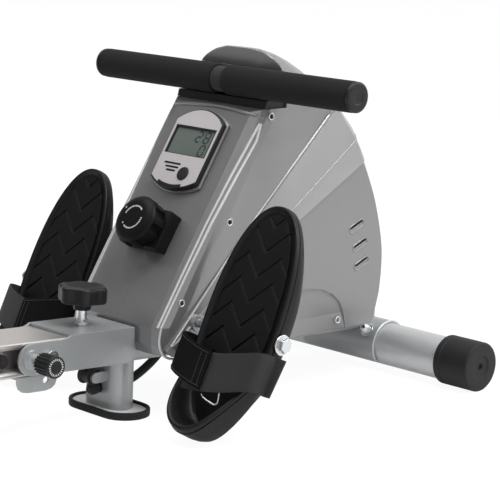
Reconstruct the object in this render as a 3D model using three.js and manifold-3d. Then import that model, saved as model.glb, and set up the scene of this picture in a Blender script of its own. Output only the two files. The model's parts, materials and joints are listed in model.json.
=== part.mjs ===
// A folding rowing machine for home use, in millimetres, +Z up.
// +X points from the seat towards the flywheel end and +Y to the rower's left.
// The model is drawn with x = 0 at the rear edge of the hinge bracket and is centred at the end.
import * as THREE from 'three';
import { mergeVertices } from 'three/addons/utils/BufferGeometryUtils.js';
import Module from 'manifold-3d';

const wasm = await Module();
wasm.setup();

// Driving dimensions
const GAP = 0.3;
const RAIL_TILT = THREE.MathUtils.degToRad(2.16);
const FACE_TILT = THREE.MathUtils.degToRad(58.1);
const RAIL = { width: 78, height: 42.6, length: 1320, front: -46, top: -3.4, grooveTop: 6.9, grooveBottom: 34.5,
  grooveDepth: 15 };
const BRACKET = { front: 104, top: 117, length: 104, halfWidth: 42.6, height: 46, wall: 3 };
const PIVOT = { u: -136, w: -24.7, boltRadius: 6 };
const PULL_PIN = { u: -165, radius: 4 };
const STAB = { x: 568.6, tubeRadius: 30.35, rollerRadius: 34.75, halfWidth: 239, rollerLength: 58 };
const REAR_STAB_U = -1292;
const POST = { x: 101, length: 37, width: 73, wall: 2.5 };
const FOOT = { length: 68, width: 126, rubberHeight: 10, sole: 3.5, plate: 3.4 };
const FACE_FOOT = { x: 106, z: 121 };
const BODY = { halfWidth: 88, bulge: 96, bottom: 79, wall: 3.5 };
const HANDLE = { x: 287, z: 421.5, foamRadius: 20, halfLength: 240, tubeRadius: 12.5 };
const AXLE = { x: 163, z: 125.5, radius: 6.5, sleeveRadius: 11 };
const PEDAL = { x: 156.8, y: 180, z: 142.6, tilt: THREE.MathUtils.degToRad(65.5), length: 308, width: 129 };
const FLYWHEEL = { x: 434, z: 212, radius: 92, y: 34 };
const DRUM_RADIUS = 31;
const GUIDE = { x: 340, z: 409.5, radius: 11 };
const SEAT_U = -700;

// Solid helpers
function solid(geometry) {
  const plain = geometry.clone();
  plain.deleteAttribute('normal');
  plain.deleteAttribute('uv');
  const merged = mergeVertices(plain, 1e-3);
  const mesh = new wasm.Mesh({
    numProp: 3,
    vertProperties: new Float32Array(merged.attributes.position.array),
    triVerts: new Uint32Array(merged.index.array),
  });
  return new wasm.Manifold(mesh);
}

function geometryOf(body) {
  const mesh = body.getMesh();
  const geometry = new THREE.BufferGeometry();
  geometry.setAttribute('position', new THREE.BufferAttribute(new Float32Array(mesh.vertProperties), 3));
  geometry.setIndex(new THREE.BufferAttribute(new Uint32Array(mesh.triVerts), 1));
  geometry.computeVertexNormals();
  return geometry;
}

function join(...geometries) {
  return geometries.map(solid).reduce((sum, next) => sum.add(next));
}

function cut(body, ...geometries) {
  return geometries.map(solid).reduce((rest, next) => rest.subtract(next), body);
}

function box(x0, x1, y0, y1, z0, z1) {
  const geometry = new THREE.BoxGeometry(x1 - x0, y1 - y0, z1 - z0);
  return geometry.translate((x0 + x1) / 2, (y0 + y1) / 2, (z0 + z1) / 2);
}

// A rod along Y, X or Z between two ends
function rodY(radius, y0, y1, x, z, sides = 16) {
  return new THREE.CylinderGeometry(radius, radius, y1 - y0, sides).translate(x, (y0 + y1) / 2, z);
}

function rodX(radius, x0, x1, y, z, sides = 16) {
  const rod = new THREE.CylinderGeometry(radius, radius, x1 - x0, sides).rotateZ(Math.PI / 2);
  return rod.translate((x0 + x1) / 2, y, z);
}

function rodZ(radius, z0, z1, x, y, sides = 16) {
  const rod = new THREE.CylinderGeometry(radius, radius, z1 - z0, sides).rotateX(Math.PI / 2);
  return rod.translate(x, y, (z0 + z1) / 2);
}

// A side outline in (x, z) given thickness along Y, and a cross-section in (y, z) drawn out along X
function prismY(shape, y0, y1, curveSegments = 4) {
  const options = { depth: y1 - y0, bevelEnabled: false, curveSegments };
  return new THREE.ExtrudeGeometry(shape, options).rotateX(Math.PI / 2).translate(0, y1, 0);
}

function prismX(shape, x0, x1, curveSegments = 4) {
  const options = { depth: x1 - x0, bevelEnabled: false, curveSegments };
  const axes = new THREE.Matrix4().makeBasis(
    new THREE.Vector3(0, 1, 0), new THREE.Vector3(0, 0, 1), new THREE.Vector3(1, 0, 0));
  return new THREE.ExtrudeGeometry(shape, options).applyMatrix4(axes).translate(x0, 0, 0);
}

function prismZ(shape, z0, z1, curveSegments = 4) {
  const options = { depth: z1 - z0, bevelEnabled: false, curveSegments };
  return new THREE.ExtrudeGeometry(shape, options).translate(0, 0, z0);
}

function polygon(points) {
  return new THREE.Shape(points.map(([a, b]) => new THREE.Vector2(a, b)));
}

function roundedRect(a0, a1, b0, b1, radius) {
  const shape = new THREE.Shape();
  shape.moveTo(a0 + radius, b0);
  shape.lineTo(a1 - radius, b0);
  shape.absarc(a1 - radius, b0 + radius, radius, -Math.PI / 2, 0);
  shape.lineTo(a1, b1 - radius);
  shape.absarc(a1 - radius, b1 - radius, radius, 0, Math.PI / 2);
  shape.lineTo(a0 + radius, b1);
  shape.absarc(a0 + radius, b1 - radius, radius, Math.PI / 2, Math.PI);
  shape.lineTo(a0, b0 + radius);
  shape.absarc(a0 + radius, b0 + radius, radius, Math.PI, Math.PI * 1.5);
  return shape;
}

// A long hole or slab with two round ends; the long side lies along the second axis of the pair
function stadium(width, length, a = 0, b = 0) {
  return roundedRect(a - width / 2, a + width / 2, b - length / 2, b + length / 2, width / 2 - 0.01);
}

// A closed skin over rings that all have the same number of points
function loft(rings) {
  const count = rings[0].length;
  const positions = rings.flat().flatMap((point) => [point.x, point.y, point.z]);
  const faces = [];
  for (let ring = 0; ring + 1 < rings.length; ring += 1) {
    for (let step = 0; step < count; step += 1) {
      const a = ring * count + step;
      const b = ring * count + (step + 1) % count;
      faces.push(a, b, b + count, a, b + count, a + count);
    }
  }
  for (const [first, turn] of [[0, true], [(rings.length - 1) * count, false]]) {
    const ring = rings[first / count];
    const centre = ring.reduce((sum, point) => sum.add(point), new THREE.Vector3()).divideScalar(count);
    const hub = positions.length / 3;
    positions.push(centre.x, centre.y, centre.z);
    for (let step = 0; step < count; step += 1) {
      const a = first + step;
      const b = first + (step + 1) % count;
      faces.push(...(turn ? [hub, b, a] : [hub, a, b]));
    }
  }
  const geometry = new THREE.BufferGeometry();
  geometry.setAttribute('position', new THREE.Float32BufferAttribute(positions, 3));
  geometry.setIndex(faces);
  return geometry;
}

// The whole machine and the two tilted frames that its parts are drawn in
const machine = new THREE.Group();
const slope = new THREE.Group();
slope.position.set(BRACKET.front, 0, BRACKET.top);
slope.rotation.y = RAIL_TILT;
const face = new THREE.Group();
face.position.set(FACE_FOOT.x, 0, FACE_FOOT.z);
face.rotation.y = -FACE_TILT;
machine.add(slope, face);
slope.updateMatrix();
face.updateMatrix();
const toSlope = slope.matrix.clone().invert();

const finishes = {
  silver: [0x7d7d80, 0.32, 0.55], frame: [0x8a9194, 0.42, 0.35], aluminium: [0xc8c2c0, 0.35, 0.8],
  black: [0x1e1e20, 0.5, 0], rubber: [0x232325, 0.8, 0], foam: [0x2a2a2b, 0.9, 0], zinc: [0xb9bdc0, 0.25, 1],
  plate: [0xc3bbbb, 0.3, 0.4], glass: [0x69776f, 0.15, 0], steel: [0x8f9396, 0.35, 0.9],
  webbing: [0x19191b, 0.85, 0], iron: [0x4b4d50, 0.55, 0.7], vinyl: [0x1d1d1f, 0.6, 0], cord: [0x161617, 0.9, 0],
};

function place(name, shape, finish, parent = machine) {
  const [color, roughness, metalness] = finishes[finish];
  const geometry = shape.isBufferGeometry ? shape : geometryOf(shape);
  const mesh = new THREE.Mesh(geometry, new THREE.MeshStandardMaterial({ color, roughness, metalness }));
  mesh.name = name;
  parent.add(mesh);
  return mesh;
}

// Main beam: a rectangular tube under the housing, its front end cut round the stabiliser saddle
const beam = { u0: -38, u1: 478, half: 38.7, top: RAIL.top, bottom: -BRACKET.height };
const beamSolid = () => {
  const section = roundedRect(-beam.half, beam.half, beam.bottom, beam.top, 5);
  section.holes.push(roundedRect(-beam.half + 3, beam.half - 3, beam.bottom + 3, beam.top - 3, 2));
  return solid(prismX(section, beam.u0, beam.u1, 2));
};
const beamSpace = () => solid(box(beam.u0 - GAP, beam.u1 + 60, -beam.half - GAP, beam.half + GAP,
  beam.bottom - GAP, beam.top + GAP).applyMatrix4(slope.matrix));
const CORD_HOLE_X = 196;
const saddleSpace = rodY(STAB.tubeRadius + 4.1, -60, 60, STAB.x, STAB.rollerRadius, 18);
const cordHoles = [CORD_HOLE_X, CORD_HOLE_X - 6].map((x) => rodZ(8, 40, 92, x, 0, 12).applyMatrix4(toSlope));
const afterSaddle = box(STAB.x + 2, 700, -60, 60, 0, 200);
place('main_beam', cut(beamSolid(), saddleSpace.applyMatrix4(toSlope), ...cordHoles,
  afterSaddle.applyMatrix4(toSlope)), 'frame', slope);

// Hinge bracket: an inverted channel over the beam's rear end, its side walls running on as round lobes
function hingeBracket() {
  const lobeRadius = 20;
  const side = new THREE.Shape();
  side.moveTo(0, 0);
  side.lineTo(0, -BRACKET.height);
  side.lineTo(-BRACKET.length - 20, -BRACKET.height + 0.6);
  side.lineTo(PULL_PIN.u, PIVOT.w - lobeRadius);
  side.absarc(PULL_PIN.u, PIVOT.w, lobeRadius, -Math.PI / 2, -Math.PI * 1.5, true);
  side.lineTo(-BRACKET.length - 16, PIVOT.w + lobeRadius);
  side.quadraticCurveTo(-BRACKET.length - 6, PIVOT.w + lobeRadius, -BRACKET.length, 0);
  const inner = BRACKET.halfWidth - BRACKET.wall;
  let body = solid(prismY(side, -BRACKET.halfWidth, -inner, 4));
  body = body.add(solid(prismY(side, inner, BRACKET.halfWidth, 4)));
  const cap = roundedRect(-BRACKET.halfWidth, BRACKET.halfWidth, -BRACKET.wall, 0, 1.4);
  body = body.add(solid(prismX(cap, -BRACKET.length, 0, 1)));
  const sleeve = 14;
  body = body.add(solid(rodY(8.5, -BRACKET.halfWidth - sleeve, -inner, PULL_PIN.u, PIVOT.w, 16)));
  body = body.add(solid(rodY(12.5, -BRACKET.halfWidth - 4, -inner, PULL_PIN.u, PIVOT.w, 16)));
  return cut(body,
    rodY(PULL_PIN.radius + 0.5, -80, 0, PULL_PIN.u, PIVOT.w, 16),
    rodY(PIVOT.boltRadius + 0.4, -60, 60, PIVOT.u, PIVOT.w, 16),
    rodZ(5.6, -20, 20, -53.5, 0, 12));
}
place('rail_bracket', hingeBracket(), 'frame', slope);

// Pivot bolt of the fold, with a low round head and a nut outside the two lobes
const pivotBolt = join(
  rodY(PIVOT.boltRadius, -BRACKET.halfWidth - 5, BRACKET.halfWidth + 5, PIVOT.u, PIVOT.w, 16),
  rodY(9.5, -BRACKET.halfWidth - 5, -BRACKET.halfWidth - GAP, PIVOT.u, PIVOT.w, 16),
  rodY(9.5, BRACKET.halfWidth + GAP, BRACKET.halfWidth + 7, PIVOT.u, PIVOT.w, 6));
place('pivot_bolt', pivotBolt, 'zinc', slope);

// Post, its foot plate and the rubber foot, with two ears behind that hold the cord pulley
const plateTop = FOOT.sole + GAP + FOOT.plate;
const PULLEY = { x: 66, z: 50, radius: 11.5 };
const CORD_RADIUS = 5.7;
function supportPost() {
  const top = 84;
  const outer = stadium(POST.length, POST.width, POST.x, 0);
  outer.holes.push(stadium(POST.length - 2 * POST.wall, POST.width - 2 * POST.wall, POST.x, 0));
  let body = solid(prismZ(outer, plateTop + GAP, top, 3)).subtract(beamSpace());
  for (const y of [-15, 12]) {
    const ear = roundedRect(PULLEY.x - 7, POST.x - POST.length / 2 + 1.5, PULLEY.z - 7, PULLEY.z + 7, 6);
    body = body.add(solid(prismY(ear, y, y + 3, 2)));
  }
  const lug = rodY(3, -14, 14, PULLEY.x, PULLEY.z, 12);
  body = body.add(solid(lug));
  return cut(body, rodX(7.6, 60, 110, 0, 32.5, 12), rodX(7.6, 100, 140, 0, 32.5, 12));
}
place('support_post', supportPost(), 'frame');
const footTray = FOOT.width - 9;
place('foot_plate', prismZ(stadium(FOOT.length - 10, footTray - 1, POST.x, 0), FOOT.sole + GAP, plateTop, 4),
  'aluminium');
const footRubber = cut(solid(prismZ(stadium(FOOT.length, FOOT.width, POST.x, 0), 0, FOOT.rubberHeight, 4)),
  prismZ(stadium(FOOT.length - 9, footTray, POST.x, 0), FOOT.sole, 30, 4));
place('foot_rubber', footRubber, 'rubber');

// Pulley on the post that turns the return cord
const pulleyProfile = [[3.4, -10.5], [PULLEY.radius, -10.5], [PULLEY.radius, -8], [8.5, -6], [8.5, 6],
  [PULLEY.radius, 8], [PULLEY.radius, 10.5], [3.4, 10.5], [3.4, -10.5]].map(([r, y]) => new THREE.Vector2(r, y));
place('cord_pulley', new THREE.LatheGeometry(pulleyProfile, 16).translate(PULLEY.x, 0, PULLEY.z), 'black');

// Return cord: out of the beam, down in a bow to the post and through it to a stop knot
function returnCord() {
  const route = new THREE.CatmullRomCurve3([
    [CORD_HOLE_X + 5, 104], [CORD_HOLE_X + 2, 90], [CORD_HOLE_X - 1.5, 74], [CORD_HOLE_X - 8, 65.5], [176, 55],
    [158, 44], [139, 35.5], [121, 32.5], [100, 32.5], [76, 32.5],
  ].map(([x, z]) => new THREE.Vector3(x, 0, z)));
  const section = new THREE.Shape();
  section.absarc(0, 0, CORD_RADIUS, 0, Math.PI * 2);
  const cord = new THREE.ExtrudeGeometry(section, { steps: 18, extrudePath: route, curveSegments: 4 });
  return join(cord, new THREE.SphereGeometry(8.6, 10, 6).translate(72.5, 0, 32.5));
}
place('return_cord', returnCord(), 'cord');

// Front stabiliser: a round tube with a big rubber transport roller on each end
function stabiliserTube(x) {
  const half = STAB.halfWidth - 8;
  const tube = solid(rodY(STAB.tubeRadius, -half, half, x, STAB.rollerRadius, 18));
  return cut(tube, rodY(STAB.tubeRadius - 2.5, -half - 5, half + 5, x, STAB.rollerRadius, 18));
}
place('front_stabiliser', stabiliserTube(STAB.x), 'frame');

function endCup(boreRadius, bossRadius, sign, x) {
  const outer = STAB.halfWidth;
  const inner = outer - STAB.rollerLength;
  const chamfer = 2.5;
  const profile = [[boreRadius, inner], [STAB.rollerRadius - chamfer, inner], [STAB.rollerRadius, inner + chamfer],
    [STAB.rollerRadius, outer - 4], [STAB.rollerRadius - 4, outer], [bossRadius, outer], [bossRadius, outer - 5],
    [0, outer - 5], [0, outer - 7.5], [boreRadius, outer - 7.5], [boreRadius, inner]];
  const cup = new THREE.LatheGeometry(profile.map(([r, y]) => new THREE.Vector2(r, y)), 18);
  if (sign < 0) cup.rotateX(Math.PI);
  return cup.translate(x, 0, STAB.rollerRadius);
}
place('front_roller_left', endCup(STAB.tubeRadius + 0.6, 4.5, 1, STAB.x), 'rubber');
place('front_roller_right', endCup(STAB.tubeRadius + 0.6, 4.5, -1, STAB.x), 'rubber');

// Saddle: a curved plate that the beam is welded to, wrapped over the back and top of the tube
const SADDLE_HALF = 70;
const SADDLE_BOLT_ANGLE = THREE.MathUtils.degToRad(143);
const SADDLE_BOLT_Y = 51;
function saddlePlate() {
  const shape = new THREE.Shape();
  const inner = STAB.tubeRadius + GAP;
  const outer = inner + 3;
  const start = THREE.MathUtils.degToRad(38);
  const end = THREE.MathUtils.degToRad(222);
  shape.absarc(STAB.x, STAB.rollerRadius, outer, start, end);
  shape.absarc(STAB.x, STAB.rollerRadius, inner, end, start, true);
  let plate = solid(prismY(shape, -SADDLE_HALF, SADDLE_HALF, 8));
  for (const y of [-SADDLE_BOLT_Y, SADDLE_BOLT_Y]) plate = cut(plate, saddleRod(4.6, 10, 60, y, 12));
  return plate;
}
function saddleRod(radius, from, to, y, sides) {
  const rod = new THREE.CylinderGeometry(radius, radius, to - from, sides).translate(0, (from + to) / 2, 0);
  rod.rotateX(Math.PI / 2).rotateY(Math.PI / 2 - SADDLE_BOLT_ANGLE);
  return rod.translate(STAB.x, y, STAB.rollerRadius);
}
place('stabiliser_saddle', saddlePlate(), 'frame');

// Domed cap nut on a washer, screwed down on the saddle
function capNut(y) {
  const seat = STAB.tubeRadius + GAP + 3 + GAP;
  const dome = new THREE.SphereGeometry(6.6, 8, 6).rotateX(Math.PI / 2);
  dome.translate(0, 0, seat + 6.5).rotateY(Math.PI / 2 - SADDLE_BOLT_ANGLE);
  return join(saddleRod(10, seat, seat + 1.6, y, 16), saddleRod(7.6, seat + 1, seat + 6.5, y, 6),
    dome.translate(STAB.x, y, STAB.rollerRadius));
}
place('saddle_nut_right', capNut(-SADDLE_BOLT_Y), 'zinc');
place('saddle_nut_left', capNut(SADDLE_BOLT_Y), 'zinc');

// Housing body: level slices from the bottom edge to the crown, with a chamfered rear and a round nose
const noseLine = new THREE.CatmullRomCurve3([[532, 79], [543, 124], [544, 184], [528, 248], [504, 301], [478, 349],
  [463, 368], [434, 400], [396, 430], [371, 445], [350, 455], [325, 464], [318, 466]]
  .map(([x, z]) => new THREE.Vector3(x, 0, z)), false, 'centripetal');
const nosePoints = noseLine.getPoints(160);
function noseAt(z) {
  const next = Math.max(1, nosePoints.findIndex((point) => point.z >= z));
  const [a, b] = [nosePoints[next - 1], nosePoints[next]];
  const slant = Math.abs(b.z - a.z) / Math.hypot(b.x - a.x, b.z - a.z);
  return { x: a.x + (b.x - a.x) * (z - a.z) / (b.z - a.z), depth: 40 / Math.max(slant, 0.42) };
}
function tailAt(z) {
  const cornerRadius = 18;
  const wallX = FACE_FOOT.x + 1;
  if (z < BODY.bottom + cornerRadius) {
    const rise = BODY.bottom + cornerRadius - z;
    return wallX + cornerRadius - Math.sqrt(cornerRadius ** 2 - rise ** 2);
  }
  return Math.max(wallX, FACE_FOOT.x + (z - FACE_FOOT.z) / Math.tan(FACE_TILT));
}
// The crown closes over in an arch: its half width shrinks from the shoulder up
const CROWN = { shoulder: 400, height: 64, power: 2.5 };
function crownShare(z) {
  const rise = THREE.MathUtils.clamp((z - CROWN.shoulder) / CROWN.height, 0, 0.99);
  return (1 - rise ** CROWN.power) ** (1 / CROWN.power);
}
// Share of the half width against depth behind the face, for its flat, two chamfers and corner
const FACE_SECTION = [[0, 0], [0.78, 1.3], [0.925, 5], [0.98, 14], [1, 25]];
const NOSE_STEPS = 6;
function bodySlice(z, inset, height, widest) {
  const half = (widest - inset) * crownShare(z);
  const nose = noseAt(z);
  const tail = tailAt(z) + inset / Math.sin(FACE_TILT);
  const tip = nose.x - inset * nose.depth / 40;
  const reach = Math.max(tip - tail, 1);
  const depth = Math.min(nose.depth, reach * 0.8);
  const side = FACE_SECTION.map(([share, back]) => [tail + Math.min(back, reach * 0.15) / Math.sin(FACE_TILT),
    share * half]);
  for (let step = 1; step <= NOSE_STEPS; step += 1) {
    const share = Math.cos(step / NOSE_STEPS * Math.PI / 2);
    const back = depth * (1 - (1 - share ** 2.2) ** (1 / 2.2));
    side.push([tip - back, share * half]);
  }
  const left = side.map(([x, y]) => new THREE.Vector3(x, y, height));
  const right = side.slice(1, -1).reverse().map(([x, y]) => new THREE.Vector3(x, -y, height));
  return [...left, ...right].reverse();
}
const OUTER_LEVELS = [79, 85, 97, 121, 184, 248, 304, 350, 386, 408, 426, 441, 453, 462];
const INNER_LEVELS = [60, 97, 121, 184, 248, 310, 368, 412, 440, 455];
const PANEL_LEVELS = [79, 97, 121, 184, 248, 304, 350, 386, 420];
const PANEL_INNER_LEVELS = [60, 121, 184, 248, 310, 368, 400];
function bodySolid(levels, inset, widest) {
  return solid(loft(levels.map((z) => bodySlice(Math.max(z, BODY.bottom + 2 * inset), inset, z, widest))));
}

// Raised side panel: below three creases that fan out from the tail the flank is wider, round the nose too
const CREASES = [
  { points: [[117, 95], [262, 244], [403, 379], [503, 475]], y: BODY.halfWidth - 0.2 },
  { points: [[120, 97], [290, 229], [440, 341], [580, 446]], y: BODY.halfWidth + 5 },
  { points: [[125, 99], [333, 228], [468, 308], [620, 398]], y: BODY.bulge },
];
function panelRegion(sign, inset) {
  const [front, low] = [640, 30];
  const slices = [{ ...CREASES[0], y: inset - 1 }, ...CREASES, { ...CREASES[2], y: BODY.bulge + 20 }];
  const rings = slices.map(({ points, y }) => {
    const outline = [...points, [front, points[3][1]], [front, low], [points[0][0], low]];
    const ring = outline.map(([x, z]) => new THREE.Vector3(x + inset, sign * (y - inset), z - inset));
    return sign < 0 ? ring.reverse() : ring;
  });
  return solid(loft(rings));
}
function sidePanel(sign, inset) {
  const levels = inset > 0 ? PANEL_INNER_LEVELS : PANEL_LEVELS;
  return bodySolid(levels, inset, BODY.bulge).intersect(panelRegion(sign, inset));
}

// Wheel-arch recess at the foot of each flank
function archShape(grow) {
  const shape = new THREE.Shape();
  shape.moveTo(292 - grow, 60);
  shape.lineTo(294 - grow, 118);
  shape.quadraticCurveTo(300 - grow, 143 + grow, 345, 144 + grow);
  shape.quadraticCurveTo(407 + grow, 146 + grow, 433 + grow, 118);
  shape.quadraticCurveTo(446 + grow, 102, 450 + grow, 60);
  return shape;
}

const SCREWS = [[290, 381], [222, 248], [143, 151], [430, 93]];
const VENTS = [[459, 223], [468, 196], [473, 169.5]];
const SEAT_CUT = [[240, 384.5], [270, 384.5], [281, 390.5], [318.5, 390.5], [318.5, 520], [240, 520]];
const CAP_LINE = [[300, 438], [322, 438], [452, 396], [480, 396], [480, 520], [300, 520]];
function capRegion(drop) {
  return solid(prismY(polygon(CAP_LINE.map(([x, z], index) => [x, index < 4 ? z - drop : z])), -140, 140));
}

function wholeShell() {
  let outer = bodySolid(OUTER_LEVELS, 0, BODY.halfWidth).add(sidePanel(1, 0)).add(sidePanel(-1, 0));
  let inner = bodySolid(INNER_LEVELS, BODY.wall, BODY.halfWidth);
  for (const sign of [1, -1]) {
    const [y0, y1] = sign > 0 ? [BODY.bulge - 5, 120] : [-120, -BODY.bulge + 5];
    const [g0, g1] = sign > 0 ? [BODY.halfWidth - 5, 120] : [-120, -BODY.halfWidth + 5];
    outer = cut(outer, prismY(archShape(0), y0, y1, 4));
    inner = inner.add(cut(sidePanel(sign, BODY.wall), prismY(archShape(6), g0, g1, 4)));
  }
  outer = cut(outer, prismY(polygon(SEAT_CUT), -140, 140));
  const seatFloor = SEAT_CUT.map(([x, z], index) => [x + (x > 300 ? 3.5 : 0), index < 4 ? z - 3.5 : z]);
  inner = cut(inner, prismY(polygon(seatFloor), -140, 140));
  return outer.subtract(inner);
}

const shell = wholeShell();
const CONSOLE = { low: 184, high: 302, cornerLow: 197, cornerHigh: 285, half: 44, y: 2 };
const KNOB = { along: 124, baseHalf: 27, baseHalfWidth: 36, baseHeight: 20, radius: 33, top: 46 };
function faceTool(geometry) {
  return solid(geometry.applyMatrix4(face.matrix));
}
function housingHalf(sign) {
  const keep = sign > 0 ? box(0, 700, 0.15, 200, 0, 600) : box(0, 700, -200, -0.15, 0, 600);
  let half = shell.intersect(solid(keep)).subtract(capRegion(GAP)).subtract(beamSpace());
  half = half.subtract(solid(box(-10, FACE_FOOT.x, -44, 44, 60, 120)));
  half = half.subtract(faceTool(box(CONSOLE.low + 10, CONSOLE.high - 10, CONSOLE.y - 36, CONSOLE.y + 36, -20, 12)));
  half = half.subtract(faceTool(rodZ(11, -20, 20, KNOB.along, 0, 12)));
  const tools = [rodY(AXLE.sleeveRadius + GAP, -120, 120, AXLE.x, AXLE.z, 16),
    box(312, 330, -15, 15, 412, 431)];
  for (const [x, z] of SCREWS) tools.push(rodY(3.4, sign > 0 ? 75 : -120, sign > 0 ? 120 : -75, x, z, 10));
  for (const [x, z] of VENTS) {
    const slot = stadium(4.4, 26).getPoints(4).map((point) => {
      const turned = point.rotateAround(new THREE.Vector2(), THREE.MathUtils.degToRad(-67));
      return [turned.x + x, turned.y + z];
    });
    tools.push(prismY(polygon(slot), sign > 0 ? 75 : -120, sign > 0 ? 120 : -75));
  }
  return cut(half, ...tools);
}
place('housing_right', housingHalf(-1), 'silver');
place('housing_left', housingHalf(1), 'silver');

// Top cap: the crown of the housing, one moulding across both halves
const capSolid = cut(shell.intersect(capRegion(0)), box(312, 330, -15, 15, 412, 431),
  rodZ(3.4, 400, 470, 355, -62, 10), rodZ(3.4, 400, 470, 355, 62, 10));
place('top_cap', capSolid, 'silver');

// Cradle: a black trough on the ledge of the housing that the handle is put down in
function handleCradle() {
  const shape = new THREE.Shape();
  const trough = HANDLE.foamRadius + 1;
  const lip = THREE.MathUtils.degToRad(-97);
  shape.moveTo(282, 390.5 + GAP);
  shape.lineTo(318.2, 390.5 + GAP);
  shape.lineTo(318.2, 431);
  shape.lineTo(HANDLE.x + trough, 431);
  shape.lineTo(HANDLE.x + trough, HANDLE.z);
  shape.absarc(HANDLE.x, HANDLE.z, trough, 0, lip, true);
  const front = polygon([[-84, 380], [84, 380], [84, 407], [76, 432], [-76, 432], [-84, 407]]);
  const cradle = solid(prismY(shape, -84, 84, 5)).intersect(solid(prismX(front, 260, 330)));
  return cut(cradle, box(300, 325, -14.5, 14.5, 415, 428));
}
place('handle_cradle', handleCradle(), 'black');

// Handle: a steel bar with two foam grips, end caps and the loop of the pull strap round its middle
const GRIP_GAP = 10.5;
const CAP_LENGTH = 6;
place('handle_bar', rodY(HANDLE.tubeRadius, -HANDLE.halfLength + CAP_LENGTH + 1, HANDLE.halfLength - CAP_LENGTH - 1,
  HANDLE.x, HANDLE.z, 16), 'steel');
for (const [side, sign] of [['left', 1], ['right', -1]]) {
  const ends = [sign * (GRIP_GAP + 0.4), sign * (HANDLE.halfLength - CAP_LENGTH)].sort((a, b) => a - b);
  const [y0, y1] = ends;
  const edge = 3;
  const bore = HANDLE.tubeRadius + GAP;
  const profile = [[bore, y0], [HANDLE.foamRadius - edge, y0], [HANDLE.foamRadius, y0 + edge],
    [HANDLE.foamRadius, y1 - edge], [HANDLE.foamRadius - edge, y1], [bore, y1], [bore, y0]];
  const grip = new THREE.LatheGeometry(profile.map(([r, y]) => new THREE.Vector2(r, y)), 16);
  place(`grip_${side}`, grip.translate(HANDLE.x, 0, HANDLE.z), 'foam');
  const capProfile = [[0, 0.4], [18.6, 0.4], [19.6, 1.4], [19.6, 4], [17.6, CAP_LENGTH], [0, CAP_LENGTH]];
  const cap = new THREE.LatheGeometry(capProfile.map(([r, y]) => new THREE.Vector2(r, y)), 16);
  if (sign < 0) cap.rotateX(Math.PI);
  place(`grip_cap_${side}`, cap.translate(HANDLE.x, sign * (HANDLE.halfLength - CAP_LENGTH), HANDLE.z), 'black');
}
const loopOuter = 18.4;
const strapLoop = cut(join(rodY(loopOuter, -GRIP_GAP, GRIP_GAP, HANDLE.x, HANDLE.z, 32),
  box(HANDLE.x, HANDLE.x + 20.5, -GRIP_GAP, GRIP_GAP, HANDLE.z - 3, HANDLE.z + 3)),
  rodY(HANDLE.tubeRadius + GAP, -20, 20, HANDLE.x, HANDLE.z, 32));
place('strap_loop', strapLoop, 'webbing');

// Pull strap: level from the loop over the guide roller and down to the drum on the flywheel axle
function strapRibbon() {
  const half = 1;
  const topZ = GUIDE.z + GUIDE.radius + GAP + half;
  const over = GUIDE.radius + GAP + half;
  const run = new THREE.Vector2(FLYWHEEL.x - GUIDE.x, FLYWHEEL.z - GUIDE.z);
  const drum = DRUM_RADIUS + GAP + half;
  const leave = Math.atan2(run.y, run.x) + Math.acos((over + drum) / run.length());
  const path = [[HANDLE.x + 20.5 + GAP, topZ]];
  for (let step = 0; step <= 6; step += 1) {
    const angle = Math.PI / 2 + (leave - Math.PI / 2) * step / 6;
    path.push([GUIDE.x + over * Math.cos(angle), GUIDE.z + over * Math.sin(angle)]);
  }
  for (let step = 0; step <= 8; step += 1) {
    const angle = leave + Math.PI + 1.7 * step / 8;
    path.push([FLYWHEEL.x + drum * Math.cos(angle), FLYWHEEL.z + drum * Math.sin(angle)]);
  }
  const sides = [1, -1].map((sign) => path.map(([x, z], index) => {
    const [px, pz] = path[Math.max(index - 1, 0)];
    const [nx, nz] = path[Math.min(index + 1, path.length - 1)];
    const length = Math.hypot(nx - px, nz - pz);
    return [x - sign * half * (nz - pz) / length, z + sign * half * (nx - px) / length];
  }));
  return prismY(polygon([...sides[0], ...sides[1].reverse()]), -10, 10);
}
place('pull_strap', strapRibbon(), 'webbing');

// Mast: a square tube from the beam to the guide roller, forked at its head
function guideMast() {
  const foot = 86;
  let body = solid(box(332, 357, -13, 13, foot, 380)).subtract(beamSpace());
  for (const y of [-17, 14]) {
    const cheek = polygon([[330, 352], [359, 352], [359, 380], [350, 418], [332, 418], [328, 380]]);
    body = body.add(solid(prismY(cheek, y, y + 3)));
  }
  body = body.add(solid(rodY(4, -16, 16, GUIDE.x, GUIDE.z, 12)));
  return body.add(solid(box(332, 357, -16.5, 16.5, 352, 374)));
}
place('guide_mast', guideMast(), 'frame');
place('guide_roller', cut(solid(rodY(GUIDE.radius, -13, 13, GUIDE.x, GUIDE.z, 16)),
  rodY(4.6, -20, 20, GUIDE.x, GUIDE.z, 12)), 'black');

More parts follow.
